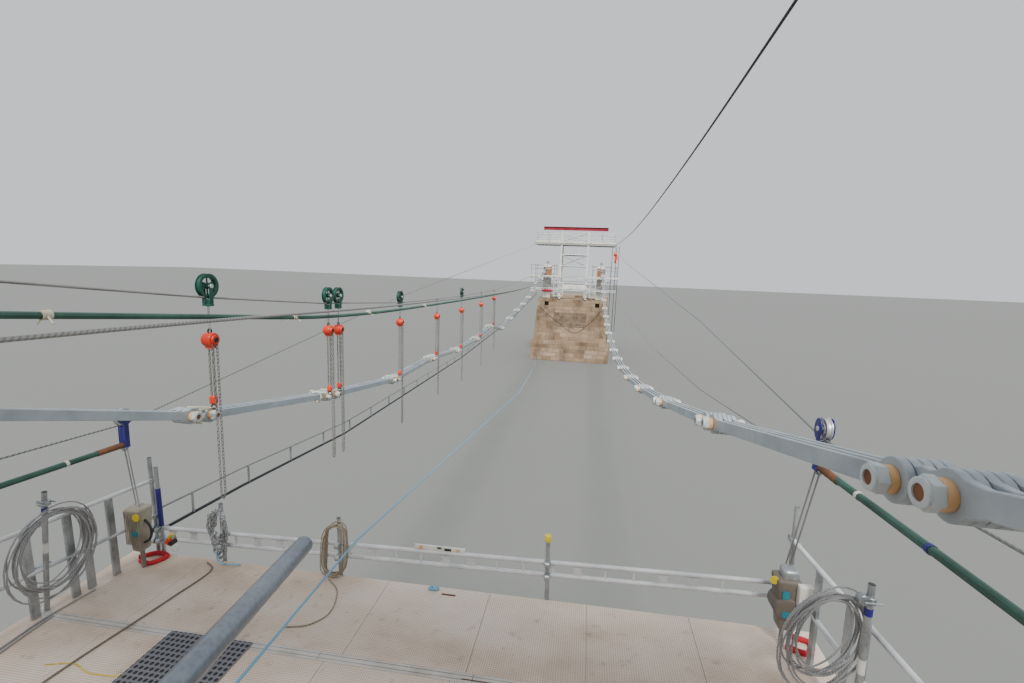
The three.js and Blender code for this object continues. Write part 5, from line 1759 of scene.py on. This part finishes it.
def deck_fittings():
    """Mat, seams, rust, ropes and slings that lie on the working platform."""
    seams = [
        flat_on_deck("rust_patch", "rust", (6.93, 6.96), (-0.345, -0.18), 0.002),
        flat_on_deck("rust_patch", "rust", (5.9, 5.91), (-1.2, -0.7), 0.002),
        flat_on_deck("strip_line", "slab", (5.895, 5.899), (-3.9, 3.8), 0.002),
        flat_on_deck("strip_line", "slab", (5.94, 5.944), (-3.9, 3.8), 0.002),
    ]
    finished(joined("deck_seams", seams), "platform_boards")
    mat = flat_on_deck("perforated_mat", "mat", (4.45, 5.94), (1.405, 2.307), 0.012)
    finished(mat, "platform_boards")
    lines = [
        ("laid_rope_on_deck", "twine", 0.02, [
            (6.98, 2.85), (6.87, 2.69), (6.33, 2.73), (5.35, 2.88), (4.4, 2.95),
        ]),
        ("coil_tail_on_deck", "coil", 0.02, [(6.32, 3.69), (5.85, 3.74), (5.46, 3.71), (4.6, 3.6)]),
        ("second_tail_on_deck", "coil", 0.02, [(5.9, 3.7), (5.46, 3.66), (4.6, 3.52)]),
        ("yellow_strap", "yellow", 0.01, [(5.387, 3.1), (5.44, 2.85), (5.38, 2.6), (5.433, 2.03)]),
        ("hank_tail", "hemp", HANK_ROPE, [(6.95, 1.2), (6.78, 1.0), (6.43, 0.9), (6.25, 1.02), (6.18, 1.25)]),
        ("red_sling", "sling", 0.055, [(6.84, 3.66), (6.82, 3.5), (6.98, 3.42), (7.02, 3.6), (6.9, 3.75)]),
        ("right_red_sling", "sling", 0.055, [(6.78, -3.72), (6.72, -3.9), (6.86, -3.98), (6.93, -3.84)]),
        ("blue_knot", "cord", 0.03, [(7.04, -0.05), (6.99, -0.02), (7.0, -0.12), (7.045, -0.09)]),
    ]
    for name, look, size, spots in lines:
        finished(deck_line(name, look, size, spots), "fibre_rope")


# Hoist cableway
def seat(radius, size):
    """How far a wheel's centre stands from the rope in its groove."""
    return radius - GROOVE_DEPTH + size / 2 + ROPE_CLEAR


def grooved_wheel():
    """Green travelling wheel: a grooved rim, six round spokes and a bored hub."""
    rim = turned(
        "wheel_rim",
        "green",
        [
            (0.098, -0.02), (0.11, -0.03), (0.14, -0.03), (0.139, -0.026), (0.122, -0.019),
            (0.12, 0), (0.122, 0.019), (0.139, 0.026), (0.14, 0.03), (0.11, 0.03), (0.098, 0.02),
        ],
    )
    hub = turned("wheel_hub", "green", [
        (AXLE_BORE, -0.03), (0.034, -0.03), (0.034, 0.03), (AXLE_BORE, 0.03),
    ])
    spokes = []
    for i in range(6):
        spoke = cylinder("spoke", "green", 0.009, 0.074, 10, (0, 0, 0.066))
        spoke.data.transform(Matrix.Rotation(math.pi / 3 * i, 4, "X"))
        spokes.append(spoke)
    return joined("travelling_wheel", [rim, hub, *spokes])


def fork(look, width, radius, reach):
    """Two cheeks beside a wheel, its axle with a nut at each end, and the foot between them."""
    pieces = []
    middle = width / 2 + 0.018
    for way in (-1, 1):
        cheek = cube("cheek", look, (way * middle, 0, (0.04 - reach) / 2), (0.012, 0.056, reach + 0.04))
        pieces.append(bevel(cheek, 0.012, 3, 80))
        pieces.append(cylinder("axle_nut", "nut", 0.024, 0.012, 6, (way * (middle + 0.011), 0, 0), "X"))
    pieces.append(cylinder("axle", "nut", AXLE_RADIUS, 2 * middle, 20, (0, 0, 0), "X"))
    foot = cube("fork_foot", look, (0, 0, -reach - 0.015), (2 * middle + 0.012, 0.06, 0.03))
    pieces.append(bevel(foot, 0.005, 2))
    clear = radius + 0.012
    web = cube("fork_web", look, (0, 0, -(reach + clear) / 2), (2 * middle, 0.05, reach - clear))
    pieces.append(bevel(web, 0.004, 2))
    return joined("wheel_fork", pieces)


def hoist_body():
    """Orange drum across the bridge, its end covers, the chain guide below and the hooks' rings."""
    drum = bevel(cylinder("drum", "orange", 0.082, 0.12, 28, (0, 0, 0), "X"), 0.014, 3)
    cover = bevel(cylinder("end_cover", "orange", 0.058, 0.16, 24, (0, 0, 0), "X"), 0.008, 2)
    guide = bevel(cube("chain_guide", "orange", (0, 0, -0.075), (0.1, 0.07, 0.06)), 0.012, 2)
    return joined("hoist_drum", [
        drum,
        cover,
        guide,
        cylinder("badge", "rubber", 0.03, 0.166, 20, (0, 0, 0), "X"),
        torus("top_ring", "rubber", 0.026, 0.008, (0, 0, 0.1), "X", (16, 8)),
    ])


def lower_block():
    """Small orange block with an open hook below it."""
    block = bevel(cube("lower_block", "orange", (0, 0, 0.04), (0.085, 0.06, 0.1)), 0.018, 3)
    hook = torus("hook", "rubber", 0.03, 0.009, (0, 0, -0.045), "Y", (20, 8))
    return joined("lower_block", [block, hook])


def hanger_piece(hoist, parts):
    """One hoist: what carries it on the track rope, its drum, chains, hook and the chain's sling."""
    along, track, up, low, wheeled = hoist
    left = CABLEWAY_LEFT
    pieces = [
        copied(parts["body"], at(along, left, up)),
        copied(parts["block"], at(along, left, low)),
    ]
    if wheeled:
        axle = track + seat(WHEEL_RADIUS, TRACK_SIZE)
        pieces.append(copied(parts["fork"], at(along, left, axle)))
        stem = axle - WHEEL_REACH - 0.02
    else:
        ring = torus("track_hook", "rubber", 0.034, 0.009, (0, 0, -0.012), "X", (20, 8))
        pieces.append(set_at(ring, (along, left, track)))
        stem = track - 0.04
    pieces.append(rod("steel", (along, left, stem), (along, left, up + 0.1), 0.024))
    for side in (-LOAD_CHAIN_APART, LOAD_CHAIN_APART):
        run = [place(along, left + side, up - 0.1), place(along, left + side, low + 0.09)]
        pieces.append(chain_along("lifting", run, 0.036, 0.01))
    foot = low - HAND_CHAIN_DROP
    bend = foot + 0.04
    hand = []
    for ahead, height in ((-0.03, up), (-0.03, bend), (0, foot + 0.006), (0.03, bend), (0.03, up)):
        hand.append(place(along + ahead, left - HAND_CHAIN_APART, height))
    pieces.append(chain_along("lifting", hand, 0.042, 0.009))
    chain = value_along(LEFT_JOINTS, along)
    loop = [place(along, left, low - 0.06)]
    for ahead, aside, above in SLING_ROUTE:
        loop.append(place(along + ahead, CHAIN_OFFSET + aside, chain + above))
    pieces.append(rope_mesh("chain_sling", "tape", loop, SLING_SIZE, 8, closed=True))
    return pieces


def cableway():
    """The track rope with the hoists that hook straight on it, and those that ride on wheels."""
    parts = {
        "body": hoist_body(),
        "block": lower_block(),
        "fork": fork("green", 0.06, WHEEL_RADIUS, WHEEL_REACH),
    }
    wheel = grooved_wheel()
    low_points = [(along, up) for along, up, *_ in HOISTS]
    route = [(ROPE_START, TRACK_ENDS[0]), *low_points, (SPAN - ROPE_START, TRACK_ENDS[1])]
    points = [place(along, CABLEWAY_LEFT, up) for along, up in route]
    track = [rope_mesh("track_rope", "wire", points, TRACK_SIZE, 12)]
    number = 0
    for hoist in HOISTS:
        pieces = hanger_piece(hoist, parts)
        if not hoist[4]:
            track += pieces
            continue
        number += 1
        finished(joined(f"chain_hoist_{number}", pieces), "hoist_orange", f"hanger_{number}")
        axle = (hoist[0], CABLEWAY_LEFT, hoist[1] + seat(WHEEL_RADIUS, TRACK_SIZE))
        rolling = copied(wheel, at(*axle))
        rolling.name = f"travelling_wheel_{number}"
        solid = f"hanger_{number}_wheel"
        finished(rolling, "traveller_green", solid, body=solid)
    finished(joined("track_rope_and_hooked_hoists", track), "wire_rope", "cableway_track")
    drop(wheel, *parts.values())


def winch_top(side):
    along, left, height = WINCHES[side]
    return on_platform(along, left, height) + Vector((0, 0, 4 * ROPE_CLEAR * MODEL_SCALE))


def sleeved_line(side, line):
    """A sleeved line with its ties, the sheave's block at its end and the winch wires from there."""
    left = line["left"]
    along, up = line["sheave"]
    start, end = line["sleeve"]
    foot = (along, left, end)
    head = (ROPE_START, left, start)
    pieces = [rope_mesh("sleeve", "sleeve", [place(*head), place(*foot)], SLEEVE_SIZE, 16)]
    pieces.append(rod("rust", (along - 0.32, left, end + 0.01), (along - 0.02, left, end), 0.068, 16))
    pieces.append(set_at(fork("blue", 0.05, SHEAVE_RADIUS, up - end), (along, left, up)))
    for way in (-1, 1):
        cheek = cylinder("oval_cheek", "blue", 0.075, 0.008, 28, (way * 0.052, 0, 0), "X")
        cheek.data.transform(Matrix.Diagonal((1, 0.85, 1.25, 1)))
        bevel(cheek, 0.003, 2)
        pieces.append(set_at(cheek, (along, left, up)))
        offset = Vector((way * 0.02 * MODEL_SCALE, 0, 0))
        wire = [place(*foot) + offset, winch_top(side) + offset]
        pieces.append(rope_mesh("winch_wire", "wire", wire, 0.016, 8))
    shackle = torus("shackle", "steel", 0.04, 0.011, (0, 0, -0.03), "X", (20, 8))
    pieces.append(set_at(shackle, foot))
    for i, look in enumerate(("white", "blue", "white")):
        tie = cylinder("sleeve_tie", look, 0.034, 0.03, 16, (0, 0, 0), "Y")
        pieces.append(set_at(tie, part_way(head, foot, 0.55 + 0.16 * i)))
    if side == "right":
        guy = [foot, (10.95, left, -2.4), (17.95, left, -2.64), (SPAN - ROPE_START, left, LOW_LEDGER)]
        pieces.append(rope_mesh("guy", "haul", [place(*spot) for spot in guy], HAUL_SIZE, 8))
    finished(joined(f"{side}_sleeve_and_block", pieces), "green_sleeve", f"{side}_sleeved_line")


def hauling():
    """Each side's hauling rope, the sheave above it and the sleeved line that holds the sheave."""
    half_profile = [
        (AXLE_BORE, 0.025), (0.05, 0.025), (0.055, 0.016), (0.08, 0.016), (0.085, 0.025),
        (0.1, 0.025), (0.099, 0.02), (0.083, 0.013),
    ]
    lower = [(radius, -side) for radius, side in half_profile]
    sheave = turned("sheave", "alloy", [*lower, (0.08, 0), *half_profile[::-1]])
    for side, line in LINES.items():
        left = line["left"]
        along, up = line["sheave"]
        under = (along, left, up - seat(SHEAVE_RADIUS, HAUL_SIZE))
        haul = [(ROPE_START, left, line["start"]), under, *((a, left, b) for a, b in line["haul"])]
        haul.append((GANTRY_END, left, GANTRY_UP - GANTRY_THICK / 2))
        rope = rope_mesh(f"{side}_hauling_rope", "haul", [place(*spot) for spot in haul], HAUL_SIZE, 12)
        finished(rope, "wire_rope", f"{side}_haul_rope")
        wheel = copied(sheave, at(along, left, up))
        wheel.name = f"{side}_sheave_wheel"
        finished(wheel, "sheave_blue", f"{side}_sheave", body=f"{side}_sheave")
        sleeved_line(side, line)
    drop(sheave)


# Far tower
def far_lattice():
    """Lattice frames below the far deck, and more guard rails on the far gantry."""
    tube = hollow_tube("bright")
    runs = []
    for sides in ((1.96, 1.0), (-1.18, -2.31)):
        for left in (*sides, sum(sides) / 2):
            runs.append(((FAR_FACE, left, -2.9), (FAR_FACE, left, -0.98), 0.08))
        for up in (-2.8 + 0.43 * i for i in range(5)):
            runs.append(((FAR_FACE, sides[0], up), (FAR_FACE, sides[1], up), 0.06))
        runs.append(((FAR_FACE, sides[0], -2.8), (FAR_FACE, sides[1], -1.08), 0.06))
    side = GANTRY_RAIL_POSTS[0]
    for along in FAR_ROWS:
        for up in (0.2, 0.38, 0.75, 0.92):
            runs.append(((along, -side, GANTRY_UP + up), (along, side, GANTRY_UP + up), 0.06))
        for left in (-side + 2 * side * i / 8 for i in range(9)):
            runs.append(((along, left, GANTRY_UP), (along, left, GANTRY_UP + RAIL_HEIGHT), 0.07))
    for up in (-2.06, -2.2):
        runs.append(((FAR_FACE, -OUTER_POST, up), (FAR_FACE, OUTER_POST, up), 0.08))
    rail = DECK_UP + 0.35
    for sign in (-1, 1):
        runs.append(((FAR_FACE, sign * CHAIN_POST, rail), (FAR_FACE, sign * OUTER_POST, rail), 0.035))
    along, left, up = LEVER_HOIST
    runs.append(((along, left, GANTRY_UP - GANTRY_THICK), (along, left, up + 0.4), 0.05))
    pieces = [tube_run(tube, *run) for run in runs]
    finished(joined("far_lattice_frames", pieces), "galvanised_steel")
    drop(tube)


def far_boards():
    side = GANTRY_RAIL_POSTS[0]
    front = FAR_ROWS[0] - 0.16
    boards = [
        ((FAR_FACE - 0.02, FAR_FACE + 0.02), (-1.3, 1.1), (-2.0, -1.6)),
        ((front, front + 0.03), (-side, side), (GANTRY_UP, GANTRY_UP + 0.16)),
    ]
    for sign in (-1, 1):
        fascia = sorted((sign * OPENING_HALF, sign * DECK_HALF))
        boards.append(((FAR_FACE - 0.02, FAR_FACE), fascia, (DECK_UP - 0.12, DECK_UP + 0.04)))
    finished(blocks(boards, "white", "far_boards", 0.004), "white_cap")


def blocked_doorway():
    """Four courses of stained stones and a sill, where the far pier's doorway was closed."""
    front = SPAN - PIER_FACE - 0.006
    stained = []
    for i in range(4):
        edges = cuts(-1.6, 1.7, 0.7, (), 0.5 * (i % 2))
        up = (-5.85 + 0.34 * i, -5.53 + 0.34 * i)
        stained += [((front, front + 0.05), stretch, up) for stretch in rows_of(edges, 0.02)]
    stained.append(((front - 0.01, front + 0.05), (-1.4, 1.5), (-6.0, -5.9)))
    finished(blocks(stained, "soot", "blocked_doorway", 0.004), "sandstone")


def folded_tarpaulin():
    bundle = cube("folded_tarpaulin", "crimson", (0, 0, 0), (1.4, 0.16, 0.34))
    apply_modifier(bundle, "SUBSURF", levels=4, render_levels=4)
    for vertex in bundle.data.vertices:
        fold = 0.02 * math.sin(23 * vertex.co.x + 9 * vertex.co.z) + 0.012 * math.sin(51 * vertex.co.x)
        vertex.co.y += fold
        vertex.co.z += fold * 0.7
    finished(set_at(bundle, (FAR_FACE - 0.1, 2.6, -2.3)), "red_paint")


def lever_hoist():
    drum = bevel(cylinder("lever_hoist_drum", "orange", 0.2, 0.3, 24, (0, 0, 0.3), "X"), 0.03, 3)
    arm = bevel(cube("lever_hoist_body", "orange", (0.1, 0, -0.2), (0.3, 0.2, 0.8)), 0.05, 3)
    bar = cube("lever_bar", "white", (0.2, -0.1, -0.6), (0.08, 0.05, 0.7))
    hoist = joined("lever_hoist", [drum, arm, bar])
    finished(set_at(hoist, LEVER_HOIST), "hoist_orange")


def far_slack_ropes():
    """Ropes that hang from the far gantry, and a line draped over the far pier's face."""
    ropes = []
    for i, left in enumerate((-3.75, -4.15, -4.4)):
        top = place(LEVER_HOIST[0], left, GANTRY_UP - GANTRY_THICK)
        foot = place(FAR_ROWS[0] - 0.25, left - 0.02, -7.2 + 0.5 * i)
        ropes.append(rope_mesh("hanging_rope", "dark", [top, foot], 0.05, 8))
    finished(joined("far_hanging_ropes", ropes), "dark_cable")
    draped = [(3.41, -3.96), (1.6, -5.35), (-0.51, -6.56), (-1.9, -5.5), (-3.01, -4.14)]
    line = spread([(SPAN - PIER_FACE - 0.03, left, up) for left, up in draped], 12)
    finished(rope_mesh("draped_line", "dark", line, 0.03, 8), "dark_cable")


# Ropes along the bridge
def cable_ties():
    """Woven ties round the green sleeved cable, each with its two loose ends."""
    ties = []
    for along, up in CABLE_TIES:
        tie = cylinder("cable_tie", "tape", 0.034, 0.06, 16, (0, 0, 0), "Y")
        ties.append(set_at(tie, (along, SLEEVED_LEFT, up)))
        for way, ahead, fall in ((1, 0.03, 0.07), (-1, -0.04, 0.05)):
            knot = (along, SLEEVED_LEFT + way * 0.015, up)
            tip = (along + ahead, SLEEVED_LEFT + way * 0.115, up - fall)
            ties.append(rod("tape", knot, tip, 0.012))
    finished(joined("cord_ties", ties), "fibre_rope")


def tag_line():
    """From the near tower over the ladder rail to the far plinth."""
    rail = on_platform(POST_ALONG, 0.92, ladder_height(0.92))
    over = Vector((0, 0, (TUBE_FLAT + 0.02) * MODEL_SCALE))
    beyond = ((18.4, 0.6, -4.7), (32, 1.5, -6.4), (SPAN - PLINTH_FACE - 2 * ROPE_CLEAR, 3.5, -9.2))
    route = [place(ROPE_START + 0.005, -0.34, -2.1), rail + over, *(place(*spot) for spot in beyond)]
    finished(rope_mesh("blue_tag_line", "cord", route, 0.02, 12), "blue_line", "tag_line")


def plain_ropes():
    sleeved = ROPE_START + ROPE_CLEAR / 2
    runs = [
        ("green_sleeved_cable", "sleeve", "green_sleeve", "sleeved_cable", 0.05, [
            (sleeved, SLEEVED_LEFT, -0.54), (6.29, SLEEVED_LEFT, -0.97), (8.45, SLEEVED_LEFT, -1.16),
            (13.2, SLEEVED_LEFT, -1.29), (32, SLEEVED_LEFT, -1.34), (SPAN - sleeved, SLEEVED_LEFT, -0.54),
        ]),
        ("carrying_wire_rope", "wire", "wire_rope", "carrying_rope", 0.035, [
            (ROPE_START, CARRYING_LEFT, -0.89), (6.18, CARRYING_LEFT, -1.0),
            (10.97, CARRYING_LEFT, -1.15), (27.16, CARRYING_LEFT, -1.36),
            (SPAN - ROPE_START, CARRYING_LEFT, -0.89),
        ]),
        ("overhead_steel_cable", "dark", "dark_cable", "overhead_cable", 0.04, [
            (0.023 - GANTRY_FRONT, -3.6, GANTRY_UP + 0.55), (15, -3.8, 2.4), (30, -3.95, 2.1),
            (GANTRY_END, LEVER_HOIST[1], GANTRY_UP - GANTRY_THICK / 2),
        ]),
    ]
    for name, look, slot, node, size, points in runs:
        finished(rope_mesh(name, look, spread(points, 30), size, 12), slot, node)
    cable_ties()
    tag_line()


def restraint_lines():
    """Two ropes from the platform's left corner to the far tower, with struts between them."""
    start = POST_ALONG + TUBE_FLAT + ROPE_CLEAR
    route = [
        (start, 3.66, -3.61), (8.6, 3.66, -3.69), (11.8, 3.66, -3.97),
        (21.6, 3.68, -4.06), (36, 3.7, -3.62), (RESTRAINT_END, 3.7, -2.55),
    ]
    lower = [(a, left, up - fall) for (a, left, up), fall in zip(route, RESTRAINT_DEPTHS)]
    pieces = [
        rope_mesh("upper_line", "haul", [place(*spot) for spot in route], 0.026, 8),
        rope_mesh("lower_line", "dark", [place(*spot) for spot in lower], 0.042, 8),
    ]
    strut = hollow_tube()
    for i in range(RESTRAINT_STRUTS):
        along = start + (route[-1][0] - start) * (i + 0.5) / RESTRAINT_STRUTS
        k = next(k for k, point in enumerate(route) if point[0] > along)
        share = (along - route[k - 1][0]) / (route[k][0] - route[k - 1][0])
        ends = [part_way(line[k - 1], line[k], share) for line in (lower, route)]
        pieces.append(tube_run(strut, *ends, 0.034))
    drop(strut)
    finished(joined("restraint_line_pair", pieces), "wire_rope", "restraint_lines")


def stage():
    deselect()
    bpy.ops.mesh.primitive_plane_add(size=400, location=(0, 0, cad_low.z - 0.001))
    floor = bpy.context.object
    floor.name = "studio_floor"
    material, shader, _ = new_material("pale_floor", 0.9)
    feed(material, shader, "Base Color", "#757775")
    floor.data.materials.append(material)
    world = bpy.data.worlds.new("studio")
    world.use_nodes = True
    background = world.node_tree.nodes["Background"]
    background.inputs["Color"].default_value = linear("#dfe4e8")
    background.inputs["Strength"].default_value = 1.1
    bpy.context.scene.world = world
    sun = bpy.data.lights.new("soft_sun", "SUN")
    sun.energy = 5.0
    sun.angle = math.radians(12)
    sun.color = (1.0, 0.97, 0.92)
    lamp = bpy.data.objects.new("soft_sun", sun)
    lamp.rotation_euler = (math.radians(38), math.radians(-14), math.radians(20))
    into_scene(lamp)


photograph_view()
spare_ropes()
chains()
masonry()
pylons()
scaffold_tower()
main_decks()
gantry_frames()
gantry_decks()
red_beams()
platform_deck()
platform_rails()
rail_fittings()
winches()
deck_fittings()
cableway()
hauling()
plain_ropes()
restraint_lines()
far_lattice()
far_boards()
blocked_doorway()
folded_tarpaulin()
lever_hoist()
far_slack_ropes()
stage()
